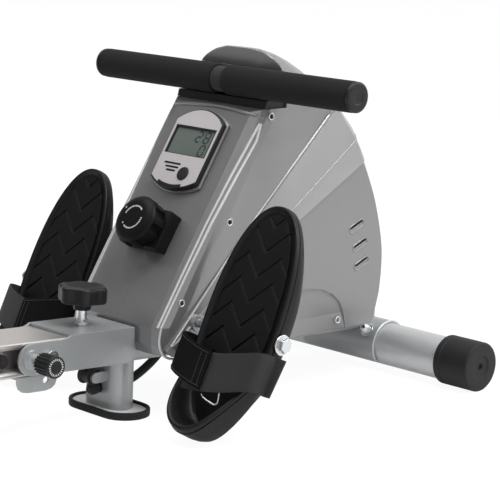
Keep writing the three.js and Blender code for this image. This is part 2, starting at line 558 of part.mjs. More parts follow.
// Flywheel bracket: two cheeks on a base, the fixed axle through them and the pin of the magnet arm
const CHEEKS = [-24, 52];
const MAGNET_PIVOT = { x: 328, z: 141 };
function flywheelBracket() {
  const { x, z } = FLYWHEEL;
  let body = solid(box(x - 23, x + 23, CHEEKS[0], CHEEKS[1] + 3, 88, 106));
  for (const y of CHEEKS) {
    const cheek = polygon([[x - 23, 95], [x + 23, 95], [x + 14, z + 14], [x - 14, z + 14]]);
    body = body.add(solid(prismY(cheek, y, y + 3)));
  }
  const { x: px, z: pz } = MAGNET_PIVOT;
  const arm = polygon([[px - 8, pz - 10], [px + 12, pz - 10], [x - 7, 98], [x + 5, 104], [x - 7, 118],
    [px + 12, pz + 10], [px - 8, pz + 10]]);
  body = body.add(solid(prismY(arm, CHEEKS[1], CHEEKS[1] + 3)));
  return body.add(solid(rodY(5, CHEEKS[1] - 14, CHEEKS[1] + 1, MAGNET_PIVOT.x, MAGNET_PIVOT.z, 12)))
    .subtract(solid(rodY(8.4, -60, 80, FLYWHEEL.x, FLYWHEEL.z, 12))).subtract(beamSpace());
}
place('flywheel_bracket', flywheelBracket(), 'frame');
const axleBar = join(rodY(8, CHEEKS[0] - 8, CHEEKS[1] + 11, FLYWHEEL.x, FLYWHEEL.z, 12),
  rodY(12, CHEEKS[0] - 8, CHEEKS[0] - GAP, FLYWHEEL.x, FLYWHEEL.z, 6),
  rodY(12, CHEEKS[1] + 3 + GAP, CHEEKS[1] + 11, FLYWHEEL.x, FLYWHEEL.z, 6));
place('flywheel_axle', axleBar, 'steel');

// Flywheel: a cast disc with a heavy rim, a thin web and a hub, beside the strap drum
const HUB_BORE = 8.6;
const flywheelProfile = [[HUB_BORE, -15], [24, -15], [24, -6], [76, -6], [76, -11], [FLYWHEEL.radius, -11],
  [FLYWHEEL.radius, 11], [76, 11], [76, 6], [24, 6], [24, 14], [HUB_BORE, 14], [HUB_BORE, -15]];
const flywheel = new THREE.LatheGeometry(flywheelProfile.map(([r, y]) => new THREE.Vector2(r, y)), 20);
place('flywheel', flywheel.translate(FLYWHEEL.x, FLYWHEEL.y, FLYWHEEL.z), 'iron');
const drumProfile = [[HUB_BORE, -16], [43, -16], [43, -13], [DRUM_RADIUS, -13], [DRUM_RADIUS, 13], [43, 13],
  [43, 16], [HUB_BORE, 16], [HUB_BORE, -16]];
const drum = new THREE.LatheGeometry(drumProfile.map(([r, y]) => new THREE.Vector2(r, y)), 16);
place('strap_drum', drum.translate(FLYWHEEL.x, 0, FLYWHEEL.z), 'black');

// Magnet arm: a curved shoe behind the flywheel rim on a short lever
function magnetArm() {
  const shape = new THREE.Shape();
  const [start, end] = [THREE.MathUtils.degToRad(168), THREE.MathUtils.degToRad(214)];
  shape.absarc(FLYWHEEL.x, FLYWHEEL.z, FLYWHEEL.radius + 3, start, end);
  shape.absarc(FLYWHEEL.x, FLYWHEEL.z, FLYWHEEL.radius + 12, end, start, true);
  const shoe = solid(prismY(shape, 23, 45, 4));
  const { x, z } = MAGNET_PIVOT;
  const lever = polygon([[x - 8, z - 8], [x + 8, z - 8], [x + 18, z + 12], [x + 10, z + 34], [x + 2, z + 34],
    [x - 8, z + 8]]);
  const arm = shoe.add(solid(prismY(lever, 30, 37)));
  return cut(arm.add(solid(rodY(9.5, 30, 48, MAGNET_PIVOT.x, MAGNET_PIVOT.z, 12))),
    rodY(5.4, 20, 60, MAGNET_PIVOT.x, MAGNET_PIVOT.z, 12));
}
place('magnet_arm', magnetArm(), 'steel');

// Console: a shallow case with arched ends in the sloped face, its screen and its one button
function consoleShape(grow) {
  const half = CONSOLE.half + grow;
  const sagitta = CONSOLE.high - CONSOLE.cornerHigh;
  const radius = (half ** 2 + sagitta ** 2) / (2 * sagitta);
  const sweep = Math.asin(half / radius);
  const shape = new THREE.Shape();
  shape.absarc(CONSOLE.high + grow - radius, CONSOLE.y, radius, -sweep, sweep);
  const low = (half ** 2 + 13 ** 2) / 26;
  const lowSweep = Math.asin(half / low);
  shape.absarc(CONSOLE.low - grow + low, CONSOLE.y, low, Math.PI - lowSweep, Math.PI + lowSweep);
  return shape;
}
const BUTTON = { along: 207.3, y: -12, radius: 9.6 };
const CONSOLE_PROUD = 9;
const consoleCase = cut(solid(prismZ(consoleShape(0), 0.4, CONSOLE_PROUD, 6))
  .add(solid(prismZ(consoleShape(-1.6), 1, CONSOLE_PROUD + 1, 6)))
  .add(solid(box(CONSOLE.low + 11, CONSOLE.high - 11, CONSOLE.y - 35, CONSOLE.y + 35, -8, 3))),
box(233, 275, CONSOLE.y - 38.5, CONSOLE.y + 38.5, 5.5, 12),
rodZ(BUTTON.radius + 0.4, 3, 20, BUTTON.along, BUTTON.y, 16));
place('console_case', consoleCase, 'plate', face);
place('console_screen', box(233.3, 274.7, CONSOLE.y - 38.2, CONSOLE.y + 38.2, 5.8, 8.6), 'glass', face);
const buttonProfile = [[0, 5.2], [BUTTON.radius, 5.2], [BUTTON.radius, 10.6], [BUTTON.radius - 1.2, 11.6], [0, 12]];
const button = new THREE.LatheGeometry(buttonProfile.map(([r, y]) => new THREE.Vector2(r, y)), 16);
place('mode_button', button.rotateX(Math.PI / 2).translate(BUTTON.along, BUTTON.y, 0), 'black', face);

// Tension knob: a square block on the seam and a large fluted dial that turns on it
const knobBase = solid(prismZ(roundedRect(KNOB.along - KNOB.baseHalf, KNOB.along + KNOB.baseHalf,
  -KNOB.baseHalfWidth, KNOB.baseHalfWidth, 3), 0.4, KNOB.baseHeight, 3))
  .add(solid(rodZ(10, -12, 2, KNOB.along, 0, 12)));
place('knob_base', cut(knobBase, rodZ(5.4, -10, 40, KNOB.along, 0, 12)), 'black', face);
function tensionKnob() {
  const base = KNOB.baseHeight + GAP;
  const { radius, top } = KNOB;
  const profile = [[0, base], [radius, base], [radius, 36], [radius - 2, 41], [radius - 6.5, 44.5],
    [radius - 10, top], [0, top]];
  const dial = new THREE.LatheGeometry(profile.map(([r, y]) => new THREE.Vector2(r, y)), 27).rotateX(Math.PI / 2);
  let body = solid(dial.translate(KNOB.along, 0, 0));
  const flutes = 9;
  for (let index = 0; index < flutes; index += 1) {
    const angle = (index + 0.5) / flutes * Math.PI * 2;
    const reach = KNOB.radius + 2.6;
    const flute = rodZ(6.2, base - 1, 38, KNOB.along + reach * Math.cos(angle), reach * Math.sin(angle), 10);
    body = cut(body, flute);
  }
  return body.add(solid(rodZ(5, -6, base + 1, KNOB.along, 0, 12)));
}
place('tension_knob', tensionKnob(), 'black', face);

// Pedal axle: one long bolt through a sleeve that is welded across the beam
const PEDAL_OUTER = PEDAL.y + PEDAL.width / 2;
const sleeveTube = cut(solid(rodY(AXLE.sleeveRadius, -98, 98, AXLE.x, AXLE.z, 16)),
  rodY(AXLE.radius + 0.35, -110, 110, AXLE.x, AXLE.z, 16));
place('axle_sleeve', sleeveTube.add(solid(box(AXLE.x - 9, AXLE.x + 9, -30, 30, 105, 118)).subtract(beamSpace())
  .subtract(solid(rodY(AXLE.sleeveRadius - 1, -110, 110, AXLE.x, AXLE.z, 16)))), 'frame');
const pedalAxle = join(rodY(AXLE.radius, -PEDAL_OUTER - 10, PEDAL_OUTER + 10, AXLE.x, AXLE.z, 16),
  ...[-1, 1].flatMap((sign) => {
    const [w0, w1] = [sign * (PEDAL_OUTER + 1.2), sign * (PEDAL_OUTER + 3.6)].sort((a, b) => a - b);
    const [h0, h1] = [sign * (PEDAL_OUTER + 3), sign * (PEDAL_OUTER + 10)].sort((a, b) => a - b);
    return [rodY(12.5, w0, w1, AXLE.x, AXLE.z, 18), rodY(9.6, h0, h1, AXLE.x, AXLE.z, 6)];
  }));
place('pedal_axle', pedalAxle, 'zinc');

// Pedals: a moulded foot plate with a hollow underside, a zigzag tread and a deep heel cup
const PEDAL_POINTS = 24;
const TREAD = { first: -45, pitch: 33, rows: 5, peak: 28, reach: 46, bar: 9 };
function pedalRing(inset, level, heelReach = 0) {
  const points = [];
  const along = PEDAL.length / 2 - inset;
  const across = PEDAL.width / 2 - inset;
  for (let step = 0; step < PEDAL_POINTS; step += 1) {
    const angle = step / PEDAL_POINTS * Math.PI * 2;
    const power = (value) => Math.sign(value) * Math.abs(value) ** (2 / 2.18);
    const plain = along * power(Math.cos(angle));
    const u = plain < 0 ? plain * (1 + heelReach / along) : plain;
    const height = typeof level === 'number' ? level : level(u);
    points.push(new THREE.Vector3(u, across * power(Math.sin(angle)), height));
  }
  return points;
}
const heelRise = (u) => THREE.MathUtils.smoothstep(-u, 40, 150);
const toeRise = (u) => THREE.MathUtils.smoothstep(u, 20, 150);
function pedalBody() {
  const cupHeight = (u) => 1.5 + 40 * heelRise(u);
  const skirt = (u) => -26 + 24 * heelRise(u) + 13 * toeRise(u);
  const rings = [
    pedalRing(5.4, -6),
    pedalRing(4.8, (u) => skirt(u) + 1 - 5 * heelRise(u)),
    pedalRing(2.2, skirt),
    pedalRing(0, (u) => -14 + 18 * heelRise(u) + 8 * toeRise(u), 3),
    pedalRing(0.6, (u) => cupHeight(u) - 1.5, -2),
    pedalRing(1.8, cupHeight, -2.6),
    pedalRing(3.6, (u) => cupHeight(u) - 0.6, -5),
    pedalRing(7, (u) => -3 + 8 * heelRise(u), -5),
    pedalRing(16, -3),
  ];
  let body = solid(loft(rings));
  for (let row = 0; row < TREAD.rows; row += 1) {
    const tip = TREAD.first + row * TREAD.pitch;
    const toe = tip + TREAD.peak;
    const reach = tip > 80 ? TREAD.peak + 8 : TREAD.reach;
    const side = [[tip, 0], [toe, TREAD.peak], [toe + TREAD.peak - reach, reach]];
    const back = side.map(([u, v]) => [u + TREAD.bar, v]).reverse();
    const mirrored = [...back.slice(0, -1).reverse(), ...side.slice(1).reverse()].map(([u, v]) => [u, -v]);
    body = body.add(solid(prismZ(polygon([...side, ...back, ...mirrored]), -4, -1.6)));
  }
  const [axleU, axleW] = axleInPedal();
  return cut(body, rodY(AXLE.radius + 0.5, -90, 90, axleU, axleW, 12));
}
function axleInPedal() {
  const [dx, dz] = [AXLE.x - PEDAL.x, AXLE.z - PEDAL.z];
  const [c, s] = [Math.cos(PEDAL.tilt), Math.sin(PEDAL.tilt)];
  return [dx * c + dz * s, -dx * s + dz * c];
}
// Foot strap: a slack band that lies on both flanks and bows over the tread, with a pad of hook tape
const STRAP = { width: 50, thickness: 2.4, legU: -55, crestU: -73 };
const STRAP_ARCH = [[1, -24], [1, -6], [1, 10], [0.995, 17], [0.955, 22.5], [0.8, 26.5], [0.5, 29], [0, 30]];
function strapLayer(arch, thickness, lift) {
  const flank = (u) => PEDAL.width / 2 * (1 - Math.abs(2 * u / PEDAL.length) ** 2.18) ** (1 / 2.18);
  const crest = (level) => THREE.MathUtils.smoothstep(level, 8, 30);
  const rings = arch.map(([share, level], index) => {
    const [before, after] = [arch[Math.max(index - 1, 0)], arch[Math.min(index + 1, arch.length - 1)]];
    const centre = STRAP.legU + (STRAP.crestU - STRAP.legU) * crest(level);
    const edge = (offset, across) => {
      const u = centre + across * STRAP.width / 2;
      const half = flank(u) + GAP + STRAP.thickness / 2;
      const along = new THREE.Vector2((after[0] - before[0]) * half, after[1] - before[1]).normalize();
      return new THREE.Vector3(u, share * half - along.y * offset, level + along.x * offset);
    };
    const stations = [-1, -0.33, 0.33, 1];
    return [...stations.map((across) => edge(lift + thickness / 2, across)),
      ...stations.reverse().map((across) => edge(lift - thickness / 2, across))];
  });
  return solid(loft(rings));
}
function footStrap(sign) {
  const across = [...STRAP_ARCH.slice(0, -1).map(([share, level]) => [-share, level]), [0, 30],
    ...STRAP_ARCH.slice(0, -1).reverse()];
  const run = sign > 0 ? across : across.map(([share, level]) => [-share, level]).reverse();
  const pad = run.slice(3, 6);
  return strapLayer(run, STRAP.thickness, 0).add(strapLayer(pad, 2.6, 2.1));
}
for (const [side, sign] of [['left', 1], ['right', -1]]) {
  const pedal = new THREE.Group();
  pedal.position.set(PEDAL.x, sign * PEDAL.y, PEDAL.z);
  pedal.rotation.y = -PEDAL.tilt;
  machine.add(pedal);
  place(`pedal_${side}`, pedalBody(), 'black', pedal);
  place(`foot_strap_${side}`, footStrap(sign), 'webbing', pedal);
}

// Rail: an aluminium extrusion with a roller groove down each side; the clamp screw bears on its top
const railRear = RAIL.front - RAIL.length;
function railSection() {
  const half = RAIL.width / 2;
  const web = half - RAIL.grooveDepth;
  const top = RAIL.top;
  const bottom = RAIL.top - RAIL.height;
  const [high, low] = [top - RAIL.grooveTop, top - RAIL.grooveBottom];
  const right = [[half - 1.2, top], [half, top - 1.2], [half, high], [web, high], [web, low], [half, low],
    [half, bottom + 1.2], [half - 1.2, bottom]];
  const left = right.map(([y, z]) => [-y, z]).reverse();
  return polygon([...right, ...left]);
}
const STOP_U = -204;
const STAR_U = -53.5;
const railCore = RAIL.width / 2 - RAIL.grooveDepth - 3;
const rail = cut(solid(prismX(railSection(), railRear, RAIL.front)),
  box(railRear - 5, RAIL.front + 5, -railCore, railCore, RAIL.top - RAIL.height + 3.5, RAIL.top - 3.5),
  rodY(PIVOT.boltRadius + 0.5, -50, 50, PIVOT.u, PIVOT.w, 16),
  rodY(5.3, -50, 50, STOP_U, PIVOT.w, 12));
place('rail', rail, 'aluminium', slope);

// Hinge plate under the rail, with the hole that the pull pin drops into when the rail is folded up
const FOLD = THREE.MathUtils.degToRad(86);
const pinReach = PIVOT.u - PULL_PIN.u;
const lockHole = { u: PIVOT.u - pinReach * Math.cos(FOLD), w: PIVOT.w - pinReach * Math.sin(FOLD) };
function hingePlate() {
  const under = RAIL.top - RAIL.height - GAP;
  const side = new THREE.Shape();
  side.moveTo(-182, under);
  side.lineTo(-182, under - 8);
  side.quadraticCurveTo(-180, -67, -165, -67);
  side.lineTo(-138, -67);
  side.quadraticCurveTo(-122, -66, -121, under - 8);
  side.lineTo(-121, under);
  const plate = solid(prismY(side, -38.6, -35.4, 3)).add(solid(prismY(side, 35.4, 38.6, 3)))
    .add(solid(box(-182, -121, -38, 38, under - 3.2, under)));
  return cut(plate, rodY(PULL_PIN.radius + 0.6, -60, 60, lockHole.u, lockHole.w, 12));
}
place('hinge_plate', hingePlate(), 'frame', slope);

// Rubber stops for the seat on one cross bolt through the web of the rail
const stopEnd = RAIL.width / 2 - 1;
const railStop = join(rodY(5, -stopEnd, stopEnd, STOP_U, PIVOT.w, 12),
  rodY(8.5, -stopEnd + 1.5, -24.3, STOP_U, PIVOT.w, 12), rodY(8.5, 24.3, stopEnd - 1.5, STOP_U, PIVOT.w, 12));
place('rail_stop', railStop, 'rubber', slope);
const endCap = solid(prismX(roundedRect(-RAIL.width / 2 - 1.5, RAIL.width / 2 + 1.5, RAIL.top - RAIL.height - 1.5,
  RAIL.top + 1.5, 6), railRear - 9, railRear - GAP, 4))
  .add(solid(box(railRear - 1, railRear + 14, -20, 20, RAIL.top - RAIL.height + 4, RAIL.top - 4)));
place('rail_end_cap', endCap, 'black', slope);

// Rear leg: a flat oval tube with a flange under the rail, welded to the rear stabiliser tube
const rearFoot = new THREE.Vector3(REAR_STAB_U, 0, RAIL.top - RAIL.height).applyMatrix4(slope.matrix);
function rearLeg() {
  const outer = stadium(POST.length, POST.width - 14, rearFoot.x, 0);
  outer.holes.push(stadium(POST.length - 2 * POST.wall, POST.width - 14 - 2 * POST.wall, rearFoot.x, 0));
  const railSpace = box(railRear - 50, RAIL.front, -45, 45, RAIL.top - RAIL.height - GAP, 60);
  const flange = box(REAR_STAB_U - 38, REAR_STAB_U + 38, -36, 36, RAIL.top - RAIL.height - 4.5,
    RAIL.top - RAIL.height - GAP);
  const leg = cut(solid(prismZ(outer, 50, rearFoot.z + 10, 3)), railSpace.applyMatrix4(slope.matrix),
    rodY(STAB.tubeRadius - 1, -60, 60, rearFoot.x, STAB.rollerRadius, 18));
  const ported = cut(solid(flange.applyMatrix4(slope.matrix)), rodZ(8, 60, 160, rearFoot.x, 0, 12));
  return leg.add(stabiliserTube(rearFoot.x)).add(ported);
}
place('rear_leg', rearLeg(), 'frame');
place('rear_cap_left', endCup(STAB.tubeRadius + GAP, 4.5, 1, rearFoot.x), 'rubber');
place('rear_cap_right', endCup(STAB.tubeRadius + GAP, 4.5, -1, rearFoot.x), 'rubber');

// Seat: a bent steel carriage on four rollers in the grooves, and a padded saddle on top
const CARRIAGE = { half: 115, plate: -1.2, rollerU: 84, rollerRadius: 13.3, rollerW: -24.1 };
function seatCarriage() {
  let body = solid(prismX(polygon([[-44.5, -36], [-44.5, CARRIAGE.plate + 3], [44.5, CARRIAGE.plate + 3],
    [44.5, -36], [41.5, -36], [41.5, CARRIAGE.plate], [-41.5, CARRIAGE.plate], [-41.5, -36]]),
  SEAT_U - CARRIAGE.half, SEAT_U + CARRIAGE.half));
  for (const u of [SEAT_U - CARRIAGE.rollerU, SEAT_U + CARRIAGE.rollerU]) {
    for (const sign of [-1, 1]) {
      const [y0, y1] = [sign * 25, sign * 48.5].sort((a, b) => a - b);
      body = body.add(solid(rodY(4, y0, y1, u, CARRIAGE.rollerW, 14)));
      const [h0, h1] = [sign * 44, sign * 49].sort((a, b) => a - b);
      body = body.add(solid(rodY(7.5, h0, h1, u, CARRIAGE.rollerW, 6)));
    }
  }
  return cut(body, box(SEAT_U - 45, SEAT_U + 45, -60, 60, -50, -17));
}
place('seat_carriage', seatCarriage(), 'frame', slope);
for (const [end, u] of [['front', SEAT_U + CARRIAGE.rollerU], ['rear', SEAT_U - CARRIAGE.rollerU]]) {
  for (const [side, sign] of [['left', 1], ['right', -1]]) {
    const profile = [[4.4, -6], [11.5, -6], [CARRIAGE.rollerRadius, -4.5], [CARRIAGE.rollerRadius, 4.5], [11.5, 6],
      [4.4, 6], [4.4, -6]];
    const roller = new THREE.LatheGeometry(profile.map(([r, y]) => new THREE.Vector2(r, y)), 12);
    place(`seat_roller_${end}_${side}`, roller.translate(u, sign * 32, CARRIAGE.rollerW), 'rubber', slope);
  }
}
// Saddle pad: a wide crowned cushion with drawn-in flanks and a shallow channel down the middle
const PAD = { u: SEAT_U - 30, halfLength: 118, halfWidth: 152, low: CARRIAGE.plate + 3 + GAP, high: 58 };
function seatPad() {
  const levels = [[0.80, 0], [0.90, 0.02], [0.955, 0.16], [0.975, 0.34], [1, 0.56], [0.985, 0.72], [0.93, 0.86],
    [0.80, 0.955], [0.55, 1], [0.25, 1]];
  const rings = levels.map(([scale, rise]) => {
    const ring = [];
    for (let step = 0; step < 26; step += 1) {
      const angle = step / 26 * Math.PI * 2;
      const power = (value) => Math.sign(value) * Math.abs(value) ** (2 / 2.9);
      const u = PAD.halfLength * scale * power(Math.cos(angle));
      const y = PAD.halfWidth * scale * power(Math.sin(angle)) * (1 - 0.1 * Math.cos(angle));
      const channel = 9 * Math.exp(-((y / 26) ** 2)) * Math.max(rise - 0.6, 0) / 0.4;
      const rear = 7 * THREE.MathUtils.smoothstep(-u, 20, 110) * rise;
      ring.push(new THREE.Vector3(PAD.u + u, y, PAD.low + (PAD.high - PAD.low) * rise - channel + rear));
    }
    return ring;
  });
  return solid(loft(rings));
}
place('seat_pad', seatPad(), 'vinyl', slope);

// Clamp knob on the bracket: a lobed hand knob on a zinc screw that bears on the rail
function starKnob() {
  const lobes = 6;
  const shape = new THREE.Shape();
  for (let step = 0; step < 36; step += 1) {
    const angle = step / 36 * Math.PI * 2;
    const radius = 27 + 2.2 * Math.cos(lobes * angle);
    const [a, b] = [STAR_U + radius * Math.cos(angle), radius * Math.sin(angle)];
    if (step === 0) shape.moveTo(a, b);
    else shape.lineTo(a, b);
  }
  const bevel = { depth: 16, bevelThickness: 3.5, bevelSize: 3, bevelOffset: -3, bevelSegments: 1 };
  const head = solid(new THREE.ExtrudeGeometry(shape, bevel).translate(0, 0, 32.5));
  return cut(head.add(solid(rodZ(11, 20, 32, STAR_U, 0, 16))), rodZ(5.4, 10, 34, STAR_U, 0, 12));
}
place('clamp_knob', starKnob(), 'black', slope);
const clampScrew = join(rodZ(5, RAIL.top + GAP, 33.6, STAR_U, 0, 12), rodZ(6.8, GAP, 19.7, STAR_U, 0, 16),
  rodZ(9, GAP, 4, STAR_U, 0, 6), rodY(2.6, -10, 10, STAR_U, 8, 12));
place('clamp_screw', clampScrew, 'zinc', slope);

// Pull pin: a sprung plunger through the boss on the right lobe, and the ribbed knob on its end
const pinFace = -BRACKET.halfWidth - 47;
const pinTip = -BRACKET.halfWidth + BRACKET.wall - 0.4;
place('pull_pin', join(rodY(PULL_PIN.radius, pinFace + 8, pinTip, PULL_PIN.u, PIVOT.w, 12)), 'steel', slope);
function pullKnob() {
  const knobRadius = 13.4;
  const ribs = 12;
  const shape = new THREE.Shape();
  for (let step = 0; step < ribs * 4; step += 1) {
    const angle = step / (ribs * 4) * Math.PI * 2;
    const radius = step % 4 < 2 ? knobRadius : knobRadius - 1.1;
    const [a, b] = [PULL_PIN.u + radius * Math.cos(angle), PIVOT.w + radius * Math.sin(angle)];
    if (step === 0) shape.moveTo(a, b);
    else shape.lineTo(a, b);
  }
  const grip = solid(prismY(shape, pinFace + 3, pinFace + 28));
  const cap = solid(rodY(13.6, pinFace, pinFace + 4, PULL_PIN.u, PIVOT.w, 32));
  return cut(grip.add(cap), rodY(PULL_PIN.radius + GAP, pinFace + 7.5, pinFace + 40, PULL_PIN.u, PIVOT.w, 12));
}
place('pull_knob', pullKnob(), 'black', slope);

// Centre the machine over its origin, on the floor
const bounds = new THREE.Box3().setFromObject(machine, true);
machine.position.set(-(bounds.min.x + bounds.max.x) / 2, 0, -bounds.min.z);

export default machine;
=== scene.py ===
import json
import math

import bmesh
import bpy
from mathutils import Matrix, Vector
from mathutils.bvhtree import BVHTree


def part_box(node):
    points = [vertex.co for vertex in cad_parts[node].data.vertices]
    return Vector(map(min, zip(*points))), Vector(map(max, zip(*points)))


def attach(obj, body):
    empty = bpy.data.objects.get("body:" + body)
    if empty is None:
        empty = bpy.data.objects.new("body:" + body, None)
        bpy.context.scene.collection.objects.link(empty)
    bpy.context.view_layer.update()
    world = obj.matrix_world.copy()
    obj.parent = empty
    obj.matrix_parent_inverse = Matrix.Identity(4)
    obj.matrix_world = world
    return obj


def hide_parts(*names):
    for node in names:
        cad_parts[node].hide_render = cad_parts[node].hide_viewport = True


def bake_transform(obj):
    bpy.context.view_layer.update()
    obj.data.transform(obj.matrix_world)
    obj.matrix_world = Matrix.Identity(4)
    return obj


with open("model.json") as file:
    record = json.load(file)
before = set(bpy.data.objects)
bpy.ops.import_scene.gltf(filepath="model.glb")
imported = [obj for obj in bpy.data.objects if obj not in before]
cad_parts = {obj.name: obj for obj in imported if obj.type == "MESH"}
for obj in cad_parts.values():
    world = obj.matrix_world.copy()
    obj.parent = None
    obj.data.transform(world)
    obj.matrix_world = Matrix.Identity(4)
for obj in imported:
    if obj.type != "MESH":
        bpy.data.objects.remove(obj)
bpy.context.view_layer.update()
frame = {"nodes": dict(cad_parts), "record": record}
nodes = frame["nodes"]

# The photographer's place: low, off the rear right corner, with a long lens,
# so that the slanted front face and the right flank both show.
CAMERA_PLACE = Vector((-1.14236, -1.81602, 0.67337))
CAMERA_YAW = math.radians(44.85)
CAMERA_PITCH = math.radians(-10.76)
CAMERA_ROLL = math.radians(2.28)
CAMERA_LENS = 137.74

ahead = Vector((math.cos(CAMERA_YAW) * math.cos(CAMERA_PITCH),
                math.sin(CAMERA_YAW) * math.cos(CAMERA_PITCH), math.sin(CAMERA_PITCH)))
level_right = ahead.cross(Vector((0, 0, 1))).normalized()
level_up = level_right.cross(ahead)
camera_right = level_right * math.cos(CAMERA_ROLL) + level_up * math.sin(CAMERA_ROLL)
camera_up = level_up * math.cos(CAMERA_ROLL) - level_right * math.sin(CAMERA_ROLL)
turn = Matrix((camera_right, camera_up, -ahead)).transposed().to_4x4()
camera = bpy.data.objects.new("camera", bpy.data.cameras.new("camera"))
camera.data.lens = CAMERA_LENS
camera.data.sensor_width = 36
camera.data.clip_end = 50
camera.matrix_world = Matrix.Translation(CAMERA_PLACE) @ turn
bpy.context.scene.collection.objects.link(camera)
bpy.context.scene.camera = camera

# The studio: a white sweep under the machine, three soft boxes and a pale
# room. None of it belongs to the machine.
FLOOR_PAPER = 0.9
FLOOR_GLOW = 1.09
FLOOR_OWN_LIGHT = 0.86
FLOOR_IN_MIRRORS = 0.3
ROOM_LEVEL = 0.6
ROOM_DARK_SIDE = 0.24
ROOM_TURN = 0.75
ROOM_BRIGHT_SIDE = (0.72, -0.62, 0.32)


def tree_of(owner):
    """An emptied node tree, with its link function and its output node."""
    owner.use_nodes = True
    tree = owner.node_tree
    tree.nodes.clear()
    kind = "World" if isinstance(owner, bpy.types.World) else "Material"
    return tree, tree.links.new, tree.nodes.new("ShaderNodeOutput" + kind)


def add_node(tree, kind, values=None, **settings):
    """A new node. Each value goes to the input of its key: an output is linked there, the rest is set."""
    node = tree.nodes.new(kind)
    for title, setting in settings.items():
        setattr(node, title, setting)
    for key, value in (values or {}).items():
        if isinstance(value, bpy.types.NodeSocket):
            tree.links.new(value, node.inputs[key])
        else:
            node.inputs[key].default_value = value
    return node


def worked_out(tree, operation, *values):
    """The result of a math node on numbers or other outputs."""
    return add_node(tree, "ShaderNodeMath", dict(enumerate(values)), operation=operation).outputs[0]


def seen_share(tree, mirrored=1.0):
    """1 for rays from the camera and through glass, which see a white studio; mirror rays get a share."""
    path = add_node(tree, "ShaderNodeLightPath").outputs
    glossy = worked_out(tree, "MULTIPLY", path["Is Glossy Ray"], mirrored)
    total = worked_out(tree, "MAXIMUM", path["Is Camera Ray"], glossy)
    return worked_out(tree, "MAXIMUM", total, path["Is Transmission Ray"])


def studio_floor():
    """The sweep: mostly white of its own where it is seen, and darker in the shadow."""
    material = bpy.data.materials.new("studio_floor")
    tree, link, output = tree_of(material)
    paper = add_node(tree, "ShaderNodeBsdfDiffuse", {"Color": (FLOOR_PAPER, FLOOR_PAPER, FLOOR_PAPER, 1)})
    glow = add_node(tree, "ShaderNodeEmission", {"Color": (1, 1, 1, 1), "Strength": FLOOR_GLOW})
    share = worked_out(tree, "MULTIPLY", seen_share(tree, FLOOR_IN_MIRRORS), FLOOR_OWN_LIGHT)
    mix = add_node(tree, "ShaderNodeMixShader", {"Fac": share, 1: paper.outputs[0], 2: glow.outputs[0]})
    link(mix.outputs[0], output.inputs["Surface"])
    return material


world = bpy.data.worlds.new("studio")
bpy.context.scene.world = world
tree, link, output = tree_of(world)
room_level = add_node(tree, "ShaderNodeMapRange",
                      {"Value": seen_share(tree), "To Min": ROOM_LEVEL, "To Max": 1.0})
sky = add_node(tree, "ShaderNodeTexCoord").outputs["Generated"]
sideways = add_node(tree, "ShaderNodeVectorMath", {0: sky, 1: ROOM_BRIGHT_SIDE}, operation="DOT_PRODUCT")
fall = add_node(tree, "ShaderNodeMapRange", {"Value": sideways.outputs["Value"], "From Min": -ROOM_TURN,
                                             "From Max": ROOM_TURN, "To Min": ROOM_DARK_SIDE},
                interpolation_type="SMOOTHSTEP")
to_camera = add_node(tree, "ShaderNodeLightPath").outputs["Is Camera Ray"]
level = worked_out(tree, "MULTIPLY", worked_out(tree, "MAXIMUM", fall.outputs[0], to_camera),
                   room_level.outputs[0])
room = add_node(tree, "ShaderNodeBackground", {"Color": (1, 1, 1, 1), "Strength": level})
link(room.outputs[0], output.inputs["Surface"])

FLOOR_HALF = 30
FLOOR_DROP = -0.0004
floor = bpy.data.meshes.new("studio_floor")
floor.from_pydata([(-FLOOR_HALF, -FLOOR_HALF, FLOOR_DROP), (FLOOR_HALF, -FLOOR_HALF, FLOOR_DROP),
                   (FLOOR_HALF, FLOOR_HALF, FLOOR_DROP), (-FLOOR_HALF, FLOOR_HALF, FLOOR_DROP)], [],
                  [(0, 1, 2, 3)])
floor.materials.append(studio_floor())
floor_piece = bpy.data.objects.new("studio_floor", floor)
bpy.context.scene.collection.objects.link(floor_piece)

LAMP_AIM = Vector((0.6, 0, 0.2))
for name, place, size, power in (("key", (0.9, -1.7, 3.5), 1.7, 88), ("side", (2.6, -1.6, 1.5), 1.2, 16),
                                 ("top", (-0.2, 0.9, 3.0), 1.8, 34)):
    lamp = bpy.data.lights.new("lamp_" + name, "AREA")
    lamp.size = size
    lamp.energy = power
    stand = bpy.data.objects.new("lamp_" + name, lamp)
    stand.location = place
    stand.rotation_euler = (LAMP_AIM - Vector(place)).to_track_quat("-Z", "Y").to_euler()
    bpy.context.scene.collection.objects.link(stand)
bpy.context.scene.view_settings.view_transform = "Standard"

# Chassis: beam, hinge bracket, rear post, rear leg, seat carriage and the
# brackets inside, all steel, welded and powder-coated grey. The machine is
# drawn in millimetres from the bracket's rear edge.
FRONT_TUBE = {"x": 568.6, "radius": 30.35, "axis": 34.75, "half": 231, "wall": 2.5}
tube_low, tube_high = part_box("front_stabiliser")
front_x = (tube_low.x + tube_high.x) / 2
MACHINE = Matrix.Translation((front_x - FRONT_TUBE["x"] / 1000, 0, 0)) @ Matrix.Scale(0.001, 4)
body_of = {node: body for body, members in frame["record"]["behaviour"]["bodies"].items() for node in members}
HERE = Matrix.Identity(4)


def new_group(name, inputs, outputs):
    """An empty shader group with float inputs, and outputs of the kinds given."""
    group = bpy.data.node_groups.new(name, "ShaderNodeTree")
    for title, value in inputs:
        group.interface.new_socket(title, in_out="INPUT", socket_type="NodeSocketFloat").default_value = value
    for title, kind in outputs:
        group.interface.new_socket(title, in_out="OUTPUT", socket_type="NodeSocket" + kind)
    return group, group.nodes.new("NodeGroupInput"), group.nodes.new("NodeGroupOutput")


